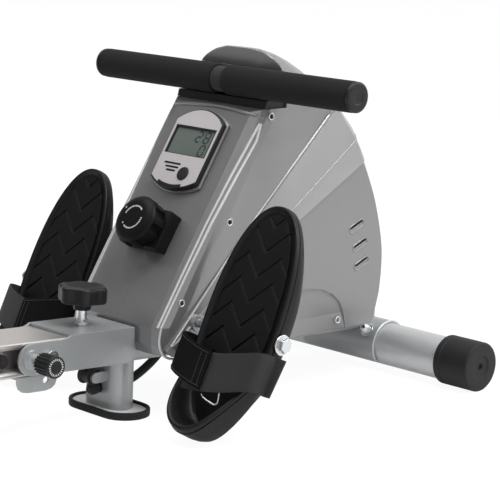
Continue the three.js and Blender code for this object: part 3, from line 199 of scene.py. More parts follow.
def surface_grain():
    """Fine grain as a height, and broad, faint changes of gloss and of shade."""
    group, given, made = new_group(
        "surface_grain",
        [("Grain Scale", 2500.0), ("Roughness", 0.4), ("Gloss Change", 0.05), ("Shade Change", 0.05)],
        [("Height", "Float"), ("Roughness", "Float"), ("Shade", "Float")])
    place = add_node(group, "ShaderNodeTexCoord").outputs["Object"]
    fine = add_node(group, "ShaderNodeTexNoise",
                    {"Vector": place, "Scale": given.outputs["Grain Scale"], "Detail": 3})
    group.links.new(fine.outputs["Fac"], made.inputs["Height"])
    broad = add_node(group, "ShaderNodeTexNoise", {"Vector": place, "Scale": 22, "Detail": 5})
    centred = worked_out(group, "SUBTRACT", broad.outputs["Fac"], 0.5)
    for change, base, title in (("Gloss Change", given.outputs["Roughness"], "Roughness"),
                                ("Shade Change", 1, "Shade")):
        scaled = worked_out(group, "MULTIPLY_ADD", centred, given.outputs[change], base)
        group.links.new(scaled, made.inputs[title])
    return group


def edge_wear_and_highlight():
    """A mask that is 1 on sharp outer edges, broken up in patches as scuffed edges are, for scuffing and a
    painted edge highlight, and the eased normal there.
    """
    group, given, made = new_group("edge_wear_and_highlight", [("Radius", 0.0009), ("Amount", 0.4)],
                                   [("Mask", "Float"), ("Eased Normal", "Vector")])
    soft = add_node(group, "ShaderNodeBevel", {"Radius": given.outputs["Radius"]},
                    samples=4).outputs["Normal"]
    group.links.new(soft, made.inputs["Eased Normal"])
    true_normal = add_node(group, "ShaderNodeNewGeometry").outputs["Normal"]
    match = add_node(group, "ShaderNodeVectorMath", {0: soft, 1: true_normal}, operation="DOT_PRODUCT")
    edge = add_node(group, "ShaderNodeMapRange",
                    {"Value": match.outputs["Value"], "From Min": 0.99, "From Max": 0.8})
    place = add_node(group, "ShaderNodeTexCoord").outputs["Object"]
    patchy = add_node(group, "ShaderNodeTexNoise", {"Vector": place, "Scale": 160, "Detail": 4})
    patches = worked_out(group, "MULTIPLY", edge.outputs[0], patchy.outputs["Fac"])
    group.links.new(worked_out(group, "MULTIPLY", patches, given.outputs["Amount"]), made.inputs["Mask"])
    return group


GRAIN = surface_grain()
WEAR_AND_HIGHLIGHT = edge_wear_and_highlight()


def finish(name, colour, roughness, metallic=0.0, grain=2500, height=0.05, depth=0.0002, gloss_change=0.06,
           shade_change=0.06, wear_and_highlight=0.4, coat=0.0, coat_roughness=0.08, edge=0.0009, shine=0.5):
    """A painted, plated or moulded finish: colour with faint shade changes, grain, and edges lightened by
    scuffing and by a painted highlight.
    """
    material = bpy.data.materials.new(name)
    tree, link, output = tree_of(material)
    grained = add_node(tree, "ShaderNodeGroup", {"Grain Scale": grain, "Roughness": roughness,
                                                 "Gloss Change": gloss_change, "Shade Change": shade_change},
                       node_tree=GRAIN).outputs
    worn_and_highlit = add_node(tree, "ShaderNodeGroup", {"Radius": edge, "Amount": wear_and_highlight}, node_tree=WEAR_AND_HIGHLIGHT).outputs
    shaded = add_node(tree, "ShaderNodeVectorMath", {0: colour, "Scale": grained["Shade"]}, operation="SCALE")
    # Sharp edges get a lighter colour: scuffing, and on the silver moulding also a painted highlight along
    # its edges.
    rubbed_and_highlight_colour = (*(min(1, 1.9 * c + 0.02) for c in colour), 1)
    rubbed_and_highlit = add_node(tree, "ShaderNodeMix", {"Factor": worn_and_highlit["Mask"], "A": shaded.outputs[0], "B": rubbed_and_highlight_colour},
                      data_type="RGBA")
    bump = add_node(tree, "ShaderNodeBump", {"Strength": height, "Distance": depth,
                                             "Height": grained["Height"], "Normal": worn_and_highlit["Eased Normal"]})
    shader = add_node(tree, "ShaderNodeBsdfPrincipled", {
        "Base Color": rubbed_and_highlit.outputs["Result"], "Roughness": grained["Roughness"], "Metallic": metallic,
        "Specular IOR Level": shine, "Coat Weight": coat, "Coat Roughness": coat_roughness,
        "Normal": bump.outputs["Normal"]})
    link(shader.outputs[0], output.inputs["Surface"])
    return material


def drawn_piece(name, mesh, material, drawn_in, smooth):
    """A piece from a drawn mesh, put in its place, with edges sharper than the angle kept sharp."""
    mesh.transform(drawn_in)
    mesh.materials.clear()
    mesh.materials.append(material)
    mesh.shade_smooth()
    mesh.set_sharp_from_angle(angle=math.radians(smooth))
    piece = bpy.data.objects.new(name, mesh)
    bpy.context.scene.collection.objects.link(piece)
    return piece


def standing(name, mesh, material, node, drawn_in=MACHINE, smooth=35, stands_for=True):
    """A drawn piece on the body of a CAD node, which it stands for unless told otherwise."""
    piece = drawn_piece(name, mesh, material, drawn_in, smooth)
    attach(piece, body_of[node])
    if stands_for:
        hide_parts(node)
    return piece


def refined(node, material, smooth=35):
    """The CAD piece with its loose triangles joined, its flat faces whole and its round ones smooth."""
    mesh = nodes[node].data.copy()
    bm = bmesh.new()
    bm.from_mesh(mesh)
    bmesh.ops.remove_doubles(bm, verts=bm.verts, dist=1e-5)
    bmesh.ops.dissolve_limit(bm, angle_limit=math.radians(0.3), verts=bm.verts, edges=bm.edges)
    bm.to_mesh(mesh)
    bm.free()
    piece = standing(node + "_finished", mesh, material, node, HERE, smooth)
    even = piece.modifiers.new("even_shading", "WEIGHTED_NORMAL")
    even.keep_sharp = True
    return piece


grey_coat = finish("grey_powder_coat", (0.38, 0.395, 0.402), 0.38, metallic=0.45, grain=3200, coat=0.3)
for node in ("main_beam", "rail_bracket", "hinge_plate", "support_post", "stabiliser_saddle", "axle_sleeve",
             "guide_mast", "flywheel_bracket", "rear_leg", "seat_carriage"):
    refined(node, grey_coat)


# Front tube: a round steel tube across the front, in a lighter grey coat, that
# the saddle grips. The tube is turned, and the saddle's rims are swept.
def mesh_of(bm):
    """The finished mesh of a drawing, its doubles merged and its faces turned out."""
    bmesh.ops.remove_doubles(bm, verts=bm.verts, dist=1e-4)
    bmesh.ops.dissolve_degenerate(bm, edges=bm.edges, dist=1e-5)
    bmesh.ops.recalc_face_normals(bm, faces=bm.faces)
    mesh = bpy.data.meshes.new("drawn")
    bm.to_mesh(mesh)
    bm.free()
    return mesh


def turn_steps(count):
    """The angles of a full turn in equal steps."""
    return [step / count * math.tau for step in range(count)]


def heading(path, index):
    """The way from the point before to the point after one point of a path."""
    return path[min(index + 1, len(path) - 1)] - path[max(index - 1, 0)]


def turned(profile, sides=64, shape=lambda radius, y, angle: radius):
    """A mesh turned about Y from (radius, y) points; a profile that ends where it starts is a hollow ring."""
    bm = bmesh.new()
    hollow = profile[0] == profile[-1]
    rings = []
    for radius, y in profile[:-1] if hollow else profile:
        if radius == 0:
            rings.append([bm.verts.new((0, y, 0))] * sides)
            continue
        rings.append([bm.verts.new((shape(radius, y, a) * math.cos(a), y, shape(radius, y, a) * math.sin(a)))
                      for a in turn_steps(sides)])
    for one, two in zip(rings, rings[1:] + (rings[:1] if hollow else [])):
        for step in range(sides):
            after = (step + 1) % sides
            corners = list(dict.fromkeys((one[step], one[after], two[after], two[step])))
            if len(corners) > 2:
                bm.faces.new(corners)
    return mesh_of(bm)


def swept(path, radius, sides=20, side_axis=Vector((0, 1, 0))):
    """A round tube along a path, with a map in millimetres: round it and along it."""
    bm = bmesh.new()
    chart = bm.loops.layers.uv.new("map")
    along = 0.0
    rows = []
    for index, point in enumerate(path):
        ahead = heading(path, index).normalized()
        across = (side_axis - ahead * side_axis.dot(ahead)).normalized()
        other = ahead.cross(across)
        along += (point - path[max(index - 1, 0)]).length
        ring = [bm.verts.new(point + radius * (math.cos(a) * across + math.sin(a) * other))
                for a in turn_steps(sides)]
        rows.append((ring, along))
    turn_length = math.tau * radius / sides
    for (one, low), (two, high) in zip(rows, rows[1:]):
        for step in range(sides):
            after = (step + 1) % sides
            face = bm.faces.new((one[step], one[after], two[after], two[step]))
            corners = ((step, low), (step + 1, low), (step + 1, high), (step, high))
            for loop, (turns, length) in zip(face.loops, corners):
                loop[chart].uv = (turns * turn_length, length)
    bm.faces.new(list(reversed(rows[0][0])))
    bm.faces.new(rows[-1][0])
    return mesh_of(bm)


light_coat = finish("light_powder_coat", (0.57, 0.58, 0.59), 0.34, metallic=0.45, grain=3200, coat=0.3)
tube = FRONT_TUBE
bore = tube["radius"] - tube["wall"]
wall = [(bore, -tube["half"]), (tube["radius"], -tube["half"]), (tube["radius"], tube["half"]),
        (bore, tube["half"]), (bore, -tube["half"])]
standing("front_tube", turned(wall, 72), light_coat, "front_stabiliser",
         MACHINE @ Matrix.Translation((tube["x"], 0, tube["axis"])))

SADDLE = {"radius": 33, "half": 69, "first": 38, "last": 222, "steps": 40, "rim": 1.6}
for name, side in (("right", -1), ("left", 1)):
    angles = [math.radians(SADDLE["first"] + (SADDLE["last"] - SADDLE["first"]) * step / SADDLE["steps"])
              for step in range(SADDLE["steps"] + 1)]
    rim = [Vector((tube["x"] + SADDLE["radius"] * math.cos(a), side * SADDLE["half"],
                   tube["axis"] + SADDLE["radius"] * math.sin(a))) for a in angles]
    standing(f"saddle_rim_{name}", swept(rim, SADDLE["rim"], 12), light_coat, "stabiliser_saddle", smooth=80,
             stands_for=False)

# Rubber ends: the two transport rollers that the machine is wheeled on when
# it is tipped up, and the fixed caps of the rear leg. All are moulded cups.
ROLLER = {"radius": 34.75, "end": 239, "length": 58, "boss": 4.5}
black_rubber = finish("black_rubber", (0.012, 0.012, 0.013), 0.6, height=0.22, grain=1800, wear_and_highlight=0.25,
                      shine=0.3)
HALF_TURN = Matrix.Rotation(math.pi, 4, "X")


def eased(points, radius, steps=3):
    """An outline with its inner corners rounded off."""
    result = [tuple(points[0])]
    for before, corner, after in zip(points, points[1:], points[2:]):
        b, c, a = Vector(before), Vector(corner), Vector(after)
        reach = min(radius, (b - c).length * 0.45, (a - c).length * 0.45)
        start, end = c + (b - c).normalized() * reach, c + (a - c).normalized() * reach
        for step in range(steps + 1):
            t = step / steps
            result.append(tuple(start * (1 - t) ** 2 + c * 2 * t * (1 - t) + end * t * t))
    return result + [tuple(points[-1])]


def end_cup(bore):
    """A rubber cup with a grip groove, a dished end and a boss, for one bore."""
    radius, end, boss = ROLLER["radius"], ROLLER["end"], ROLLER["boss"]
    inner = end - ROLLER["length"]
    groove = [(radius, inner + 9), (radius - 1, inner + 10), (radius - 1, inner + 12), (radius, inner + 13)]
    outside = eased([(bore, inner), (radius, inner), *groove, (radius, end), (boss + 12, end),
                     (boss + 11, end - 1.4), (boss, end - 1.4), (boss, end - 5), (0, end - 5)], 3.6, 5)
    return turned([*outside, (0, end - 7.5), (bore, end - 7.5)] + [outside[0]], 72)


rear_low, rear_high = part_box("rear_cap_left")
rear_x = (rear_low.x + rear_high.x) / 2
for end, x, bore in (("front_roller", front_x, 30.95), ("rear_cap", rear_x, 30.65)):
    where = Matrix.Translation((x, 0, ROLLER["radius"] / 1000)) @ Matrix.Scale(0.001, 4)
    for side, flip in (("left", HERE), ("right", HALF_TURN)):
        node = f"{end}_{side}"
        standing(node + "_rubber", end_cup(bore), black_rubber, node, where @ flip)

# Bright fasteners: the domed nuts of the saddle, the fold bolt and the clamp
# screw. They are zinc-plated steel.
bright_zinc = finish("bright_zinc", (0.66, 0.68, 0.7), 0.2, metallic=1.0, grain=900, height=0.03,
                     gloss_change=0.12)
LIE_FLAT = Matrix.Rotation(math.pi / 2, 4, "X")
NUT = {"washer": 10, "hexagon": 7.6, "dome": 6.6, "seat": 33.95, "angle": math.radians(143)}


def joined(*parts):
    """Several drawn meshes as one, each moved by its own matrix."""
    bm = bmesh.new()
    for mesh, matrix in parts:
        mesh.transform(matrix)
        bm.from_mesh(mesh)
    mesh = bpy.data.meshes.new("joined")
    bm.to_mesh(mesh)
    bm.free()
    return mesh


def cap_nut():
    """A washer, a hexagon and a dome, turned about Y and joined."""
    seat, washer, hexagon, dome = NUT["seat"], NUT["washer"], NUT["hexagon"], NUT["dome"]
    arc = [(dome * math.cos(a), seat + 6.3 + dome * math.sin(a))
           for a in (step / 8 * math.pi / 2 for step in range(8))]
    disc = eased([(0, seat), (washer, seat), (washer, seat + 1.6), (0, seat + 1.6)], 0.5)
    flats = eased([(0, seat + 1), (hexagon, seat + 1), (hexagon, seat + 6), (hexagon - 1, seat + 6.8),
                   (0, seat + 6.8)], 0.4)
    top = [(0, seat + 2), (dome, seat + 2), *arc, (0, seat + 6.3 + dome)]
    return joined((turned(disc, 48), HERE), (turned(flats, 6), HERE), (turned(top, 48), HERE))


for node, y in (("saddle_nut_right", -51), ("saddle_nut_left", 51)):
    aim = Matrix.Translation((FRONT_TUBE["x"], y, FRONT_TUBE["axis"])) @ Matrix.Rotation(
        math.pi / 2 - NUT["angle"], 4, "Y") @ LIE_FLAT
    standing(node + "_zinc", cap_nut(), bright_zinc, node, MACHINE @ aim)
for node in ("pivot_bolt", "clamp_screw"):
    refined(node, bright_zinc, 40)

# Footrest axle: a plain steel bar through its sleeve, with a washer and a hex
# bolt at each end. It is turned, and zinc-plated too.
AXLE = {"x": 163, "z": 125.5, "radius": 6.5, "end": 244.5}


def axle_end():
    """The washer and the hex bolt at one end of the axle."""
    end = AXLE["end"]
    washer = turned(eased([(6, end + 1.2), (13, end + 1.2), (13, end + 3.4), (6, end + 3.4)], 0.7)
                    + [(6, end + 1.2)], 56)
    hexagon = turned(eased([(0, end + 3), (9.8, end + 3), (9.8, end + 8.6), (8.6, end + 10), (0, end + 10)],
                           0.5), 6)
    return joined((washer, HERE), (hexagon, Matrix.Rotation(0.25, 4, "Y")))


axle_bar = turned([(0, -AXLE["end"] - 4), (AXLE["radius"], -AXLE["end"] - 4),
                   (AXLE["radius"], AXLE["end"] + 4), (0, AXLE["end"] + 4)], 40)
standing("pedal_axle_bar", joined((axle_bar, HERE), (axle_end(), HERE),
                                  (axle_end(), HALF_TURN)), bright_zinc, "pedal_axle",
         MACHINE @ Matrix.Translation((AXLE["x"], 0, AXLE["z"])))


# Foot of the post: a pressed tray in a rubber cup with a raised rim, both
# long ovals across the machine, drawn up from rings.
def oval(width, length, inset, z, steps=14):
    """A long oval across the machine at height z, its straight sides along Y."""
    radius = width / 2 - inset
    reach = (length - width) / 2
    ring = []
    for centre, first in ((reach, 0), (-reach, math.pi)):
        for step in range(steps + 1):
            angle = first + step / steps * math.pi
            ring.append(Vector((radius * math.cos(angle), centre + radius * math.sin(angle), z)))
    return ring


def skin_between(bm, one, two):
    """Faces between two closed rings of vertices."""
    for corners in zip(one, one[1:] + one[:1], two[1:] + two[:1], two):
        bm.faces.new(corners)


def lofted(rings):
    """A closed skin over rings that have the same number of points."""
    bm = bmesh.new()
    rows = [[bm.verts.new(point) for point in ring] for ring in rings]
    for one, two in zip(rows, rows[1:]):
        skin_between(bm, one, two)
    bm.faces.new(list(reversed(rows[0])))
    bm.faces.new(rows[-1])
    return mesh_of(bm)


POST_X = 101
POST_FOOT = MACHINE @ Matrix.Translation((POST_X, 0, 0))
foot_rings = [(1.6, 0), (0.4, 0.5), (0, 1.6), (0, 8.6), (0.4, 9.6), (1.2, 10), (3.2, 10), (4.1, 9.6),
              (4.4, 8.8), (4.5, 3.5)]
standing("foot_rubber_cup", lofted([oval(68, 126, inset, z) for inset, z in foot_rings]), black_rubber,
         "foot_rubber", POST_FOOT)
tray_metal = finish("tray_metal", (0.78, 0.78, 0.78), 0.45, grain=2200)
tray_rings = [oval(58, 116, inset, z) for inset, z in ((0.8, 3.8), (0, 4.4), (0, 6.6), (0.8, 7.2))]
standing("foot_tray", lofted(tray_rings), tray_metal, "foot_plate", POST_FOOT)

# Return cord: elastic with a braided cover, out of the beam, down in a bow and
# through the post to its stop knot, over a small pulley.
CORD_RADIUS = 5.7
CORD_ROUTE = [(201, 104), (198, 90), (194.5, 74), (188, 65.5), (176, 55), (158, 44), (139, 35.5), (121, 32.5),
              (100, 32.5), (76, 32.5)]


def through(points, steps):
    """A smooth run of points through the given ones."""
    points = [Vector(point) for point in points]
    points = [points[0] * 2 - points[1], *points, points[-1] * 2 - points[-2]]
    run = []
    for a, b, c, d in zip(points, points[1:], points[2:], points[3:]):
        for step in range(steps):
            t = step / steps
            run.append(0.5 * (2 * b + (c - a) * t + (2 * a - 5 * b + 4 * c - d) * t ** 2
                              + (3 * b - 3 * c + d - a) * t ** 3))
    return run + [points[-2]]


def braid():
    """Two sets of slanting threads, from a piece's own map in millimetres, as a height."""
    group, given, made = new_group("braid", [("Thread", 1.1)], [("Height", "Float")])
    chart = add_node(group, "ShaderNodeUVMap").outputs[0]
    split = add_node(group, "ShaderNodeSeparateXYZ", {0: chart}).outputs
    waves = []
    for operation in ("ADD", "SUBTRACT"):
        slant = worked_out(group, operation, split["X"], split["Y"])
        waves.append(worked_out(group, "SINE", worked_out(group, "DIVIDE", slant, given.outputs["Thread"])))
    group.links.new(worked_out(group, "MULTIPLY_ADD", *waves, 0.5), made.inputs["Height"])
    return group


def cloth_finish(name, colour, pattern, sizes, strength=0.6, depth=0.0005, roughness=0.85, sheen=0.1,
                 thread_highlight=2.4):
    """A woven or braided finish on a piece's own map: raised threads get a painted highlight and the gaps
    painted shade.
    """
    material = bpy.data.materials.new(name)
    tree, link, output = tree_of(material)
    raised = add_node(tree, "ShaderNodeGroup", sizes, node_tree=pattern).outputs["Height"]
    # Painted shade in the gaps between threads and a painted highlight on the raised threads.
    shade = add_node(tree, "ShaderNodeMix", {"Factor": raised, "A": (*[c * 0.45 for c in colour], 1),
                                             "B": (*[c * thread_highlight for c in colour], 1)}, data_type="RGBA")
    bump = add_node(tree, "ShaderNodeBump", {"Strength": strength, "Distance": depth, "Height": raised})
    shader = add_node(tree, "ShaderNodeBsdfPrincipled",
                      {"Base Color": shade.outputs["Result"], "Roughness": roughness, "Sheen Weight": sheen,
                       "Sheen Roughness": 0.45, "Normal": bump.outputs["Normal"]})
    link(shader.outputs[0], output.inputs["Surface"])
    return material


elastic_braid = cloth_finish("elastic_braid", (0.012, 0.012, 0.013), braid(), {"Thread": 0.42})
knot = turned([(0, -8.6), (4, -7.8), (7.4, -5), (8.6, 0), (7.4, 5), (4, 7.8), (0, 8.6)], 24,
              lambda radius, y, angle: radius * (1 + 0.06 * math.sin(3 * angle + y / 2)))
cord_path = through([(x, 0, z) for x, z in CORD_ROUTE], 6)
standing("return_cord_braided", joined((swept(cord_path, CORD_RADIUS), HERE),
                                       (knot, Matrix.Translation((72.5, 0, 32.5)))), elastic_braid,
         "return_cord")

# Cord pulley: a small moulded wheel in the foot of the post, grooved for the
# cord, with a grey nylon hub that runs on a pin.
PULLEY = {"x": 66, "z": 50}
black_plastic = finish("black_plastic", (0.0105, 0.0105, 0.0115), 0.4, height=0.16, grain=2600, wear_and_highlight=0.3,
                       shine=0.3)
grey_nylon = finish("grey_nylon", (0.16, 0.165, 0.17), 0.5, height=0.1)
pulley_at = MACHINE @ Matrix.Translation((PULLEY["x"], 0, PULLEY["z"]))
pulley_profile = [(3.4, -10.5), (11.5, -10.5), (11.5, -8), (8.5, -6), (8.5, 6), (11.5, 8), (11.5, 10.5),
                  (3.4, 10.5)]
standing("cord_pulley_wheel", turned(eased(pulley_profile, 0.8) + [(3.4, -10.5)], 48), black_plastic,
         "cord_pulley", pulley_at)
hub_disc = [(3.5, 10.4), (7.2, 10.4), (7.2, 10.9), (3.5, 10.9), (3.5, 10.4)]
standing("cord_pulley_hub", joined((turned(hub_disc, 40), HERE), (turned(hub_disc, 40), HALF_TURN)),
         grey_nylon, "cord_pulley", pulley_at, stands_for=False)

# Housing: two glossy silver half shells and the cap across their crown, with
# screws down in their bosses. The shells are moulded in a metallic plastic.
# The wide edge radius and large edge amount here paint light highlight lines along the shells' edges, besides
# scuffing.
silver = finish("silver_moulding", (0.235, 0.235, 0.24), 0.29, metallic=0.45, grain=5200, height=0.03,
                coat=0.45, coat_roughness=0.2, edge=0.0017, wear_and_highlight=0.6)
NOSE_LINE = [(532, 79), (543, 124), (544, 184), (528, 248), (504, 301), (478, 349), (463, 368), (434, 400),
             (396, 430), (371, 445), (350, 455), (325, 464), (318, 466)]
LEVELS = [79, 97, 121, 184, 248, 304, 350, 386, 408, 426, 441, 453, 462]
CROWN = {"shoulder": 400, "height": 64, "power": 2.5}
LEDGE_WALL = 319
BEND_ANGLE, PANEL_ANGLE = 24, 13
BOW = {"from": 120, "full": 45, "behind_wall": 22, "soft_edges": 55, "slice": 8}


def nose_at(z, line=through(NOSE_LINE, 16)):
    """Where the nose line stands at a height."""
    above = next((index for index, point in enumerate(line) if point.y >= z and index), len(line) - 1)
    low, high = line[above - 1], line[above]
    return low.x + (high.x - low.x) * (z - low.y) / max(high.y - low.y, 1e-6)


def crown_share(z):
    """Share of the full width left at a height, where the crown closes over."""
    rise = max(0.0, min(0.99, (z - CROWN["shoulder"]) / CROWN["height"]))
    return (1 - rise ** CROWN["power"]) ** (1 / CROWN["power"])


def ramp(value, low, high):
    """A smooth rise from 0 to 1."""
    t = max(0.0, min(1.0, (value - low) / (high - low)))
    return t * t * (3 - 2 * t)


def rounded_shell(node):
    """Bend a CAD shell's nose and crown into true curves between its levels, and give back its surface."""
    piece = refined(node, silver, BEND_ANGLE)
    bm = bmesh.new()
    bm.from_mesh(piece.data)
    bm.transform(MACHINE.inverted())
    bmesh.ops.triangulate(bm, faces=bm.faces)
    for low, high in zip(LEVELS[2:], LEVELS[3:]):
        parts = max(2, round((high - low) / BOW["slice"]))
        for step in range(parts):
            bmesh.ops.bisect_plane(bm, geom=[*bm.verts, *bm.edges, *bm.faces], dist=1e-3, plane_no=(0, 0, 1),
                                   plane_co=(0, 0, low + (high - low) * step / parts))
    for vert in bm.verts:
        x, y, z = vert.co
        low, high = next(((a, b) for a, b in zip(LEVELS, LEVELS[1:]) if a <= z < b), (0, 0))
        if high and z > LEVELS[2]:
            t = (z - low) / (high - low)
            nose = nose_at(z)
            bow = nose - (nose_at(low) * (1 - t) + nose_at(high) * t)
            vert.co.x += (bow * ramp(x, nose - BOW["from"], nose - BOW["full"])
                          * ramp(x, LEDGE_WALL, LEDGE_WALL + BOW["behind_wall"]))
            vert.co.y *= crown_share(z) / (crown_share(low) * (1 - t) + crown_share(high) * t)
    for edge in bm.edges:
        middle = (edge.verts[0].co + edge.verts[1].co) / 2
        bent = middle.x > nose_at(middle.z) - BOW["soft_edges"] and abs(middle.y) > 1
        edge.smooth = edge.calc_face_angle(0) < math.radians(BEND_ANGLE if bent else PANEL_ANGLE)
    surface = BVHTree.FromBMesh(bm)
    bm.transform(MACHINE)
    bm.to_mesh(piece.data)
    bm.free()
    return surface


shell_surfaces = {node: rounded_shell(node) for node in ("housing_right", "housing_left", "top_cap")}


# Screws of the housing: black pan heads with a cross recess, sunk in the bosses
# of the shells and in the cap. Geometry nodes set them on their points.
def repeat_tree():
    """Geometry nodes that set one shape on points, turned to face as each point says."""
    tree = bpy.data.node_groups.new("set_on_points", "GeometryNodeTree")
    new_socket = tree.interface.new_socket
    for title, kind in (("Points", "Geometry"), ("Unit", "Object"), ("Size", "Float"),
                        ("Finish", "Material")):
        new_socket(title, in_out="INPUT", socket_type="NodeSocket" + kind)
    new_socket("Set", in_out="OUTPUT", socket_type="NodeSocketGeometry")
    given, made = add_node(tree, "NodeGroupInput").outputs, add_node(tree, "NodeGroupOutput")
    unit = add_node(tree, "GeometryNodeObjectInfo", {"Object": given["Unit"]}).outputs["Geometry"]
    turned_to = {}
    for axis, pivot, title in (("Z", "AUTO", "aim"), ("X", "Z", "along")):
        named = add_node(tree, "GeometryNodeInputNamedAttribute", {"Name": title}, data_type="FLOAT_VECTOR")
        align = add_node(tree, "FunctionNodeAlignRotationToVector", {"Vector": named.outputs[0], **turned_to},
                         axis=axis, pivot_axis=pivot)
        turned_to = {"Rotation": align.outputs["Rotation"]}
    copies = add_node(tree, "GeometryNodeInstanceOnPoints",
                      {"Points": given["Points"], "Instance": unit, "Scale": given["Size"], **turned_to})
    real = add_node(tree, "GeometryNodeRealizeInstances", {0: copies.outputs[0]})
    paint = add_node(tree, "GeometryNodeSetMaterial",
                     {"Geometry": real.outputs[0], "Material": given["Finish"]})
    tree.links.new(paint.outputs[0], made.inputs[0])
    return tree


SET_ON_POINTS = repeat_tree()


def repeated(name, unit, places, material, node, drawn_in=MACHINE, size=1.0, smooth=35):
    """Copies of one small drawn shape; a place is its point, the way it faces and the way it lies."""
    carrier_mesh = bpy.data.meshes.new("places")
    carrier_mesh.from_pydata([place[0] for place in places], [], [])
    for title, index in (("aim", 1), ("along", 2)):
        attribute = carrier_mesh.attributes.new(title, "FLOAT_VECTOR", "POINT")
        attribute.data.foreach_set("vector", [value for place in places for value in place[index]])
    carrier = bpy.data.objects.new("places", carrier_mesh)
    unit_object = bpy.data.objects.new("unit", unit)
    for helper in (carrier, unit_object):
        bpy.context.scene.collection.objects.link(helper)
    modifier = carrier.modifiers.new("set", "NODES")
    modifier.node_group = SET_ON_POINTS
    wanted = {"Unit": unit_object, "Size": size, "Finish": material}
    for socket in SET_ON_POINTS.interface.items_tree:
        if socket.name in wanted:
            modifier[socket.identifier] = wanted[socket.name]
    graph = bpy.context.evaluated_depsgraph_get()
    mesh = bpy.data.meshes.new_from_object(carrier.evaluated_get(graph))
    for helper in (carrier, unit_object):
        bpy.data.objects.remove(helper)
    return standing(name, mesh, material, node, drawn_in, smooth, stands_for=False)


def cross_screw(radius=3.1, height=1.6):
    """A pan head with a cross recess, facing +Z."""
    head = turned(eased([(0, 0), (radius, 0), (radius, height * 0.5), (radius * 0.55, height), (0, height)],
                        0.7), 24)
    bar = [(-1.7, -0.35), (1.7, -0.35), (1.7, 0.35), (-1.7, 0.35)]
    bm = bmesh.new()
    for quarter in (0, 1):
        corners = [(a, b) if quarter == 0 else (b, a) for a, b in bar]
        low = [bm.verts.new((a, height * 0.7, b)) for a, b in corners]
        high = [bm.verts.new((a, height + 0.03, b)) for a, b in corners]
        for corner in range(4):
            after = (corner + 1) % 4
            bm.faces.new((low[corner], low[after], high[after], high[corner]))
        bm.faces.new(high)
        bm.faces.new(list(reversed(low)))
    return joined((head, LIE_FLAT), (mesh_of(bm), LIE_FLAT))


SHELLS = (("housing_right", -1), ("housing_left", 1))
SCREWS = [(290, 381, 84.5), (222, 248, 84), (143, 151, 83), (430, 93, 91)]
SCREW_SUNK = 3
CAP_SCREW = {"x": 355, "y": 62, "z": 433, "radius": 2.9}
dark_screw = finish("dark_screw", (0.05, 0.05, 0.052), 0.35, metallic=0.9)
for node, side in SHELLS:
    places = [((x, side * (depth - SCREW_SUNK), z), (0, side, 0), (1, 0, 0.3)) for x, z, depth in SCREWS]
    repeated(node + "_screws", cross_screw(), places, dark_screw, node)
places = [((CAP_SCREW["x"], side * CAP_SCREW["y"], CAP_SCREW["z"]), (0.3, side * 0.25, 1), (1, 0, 0))
          for side in (-1, 1)]
repeated("top_cap_screws", cross_screw(CAP_SCREW["radius"]), places, dark_screw, "top_cap")

# Moulded trims of the housing: ridges beside the slanted face and along the flank's crease, rims round
# the screw holes and hoods at the vents. Ridges and rims are in a lighter silver that paints their
# highlights.
# A lighter copy of the silver moulding: painted highlight lines on the ridges and screw rims.
silver_painted_highlight = finish("silver_painted_highlight", (0.66, 0.66, 0.665), 0.22, metallic=0.35, grain=5200, height=0.0,
                         coat=0.8, wear_and_highlight=0.0)
FACE_EDGE = [(108.7, 121), (146.9, 184), (186.8, 248), (221.6, 304), (250.3, 350), (264, 372)]
INNER_RIDGE = [(2.4, 77), (2.7, 77.3), (3, 77.8), (4.6, 80), (7.2, 82.6), (9, 83.8)]
OUTER_RIDGE = [(4.4, 81.6), (5.2, 82.2), (6.4, 82.8), (10, 84.9), (14.4, 86.6), (10.5, 84.6)]
RIDGES = [(1.9, [(x + out, y, z) for (x, z), (out, y) in zip(FACE_EDGE, INNER_RIDGE)]),
          (1.9, [(x + out, y, z) for (x, z), (out, y) in zip(FACE_EDGE, OUTER_RIDGE)]),
          (1.3, [(121.8, 92.2, 98.6), (156, 91, 134), (210, 88.6, 190.4), (262.4, 87.2, 244),
                 (333, 87.2, 311.8), (401, 87.2, 377)])]


def round_bar(a0, b0, a1, b1, width, steps=6):
    """The outline of a bar with round ends between two points."""
    start, end = Vector((a0, b0)), Vector((a1, b1))
    lie = (end - start).normalized()
    side = Vector((-lie.y, lie.x))
    outline = []
    for centre, first in ((end, -math.pi / 2), (start, math.pi / 2)):
        for step in range(steps + 1):
            angle = first + math.pi * step / steps
            outline.append(centre + width / 2 * (lie * math.cos(angle) + side * math.sin(angle)))
    return outline


def slot_rim(length, width, radius, sides=10):
    """A rounded rim round a long hole, lying along X and facing +Z."""
    line = round_bar(-length / 2, 0, length / 2, 0, width, 8)
    path = [Vector((x, y, 0)) for x, y in (*line, line[0])]
    return swept(path, radius, sides, Vector((0, 0, 1)))


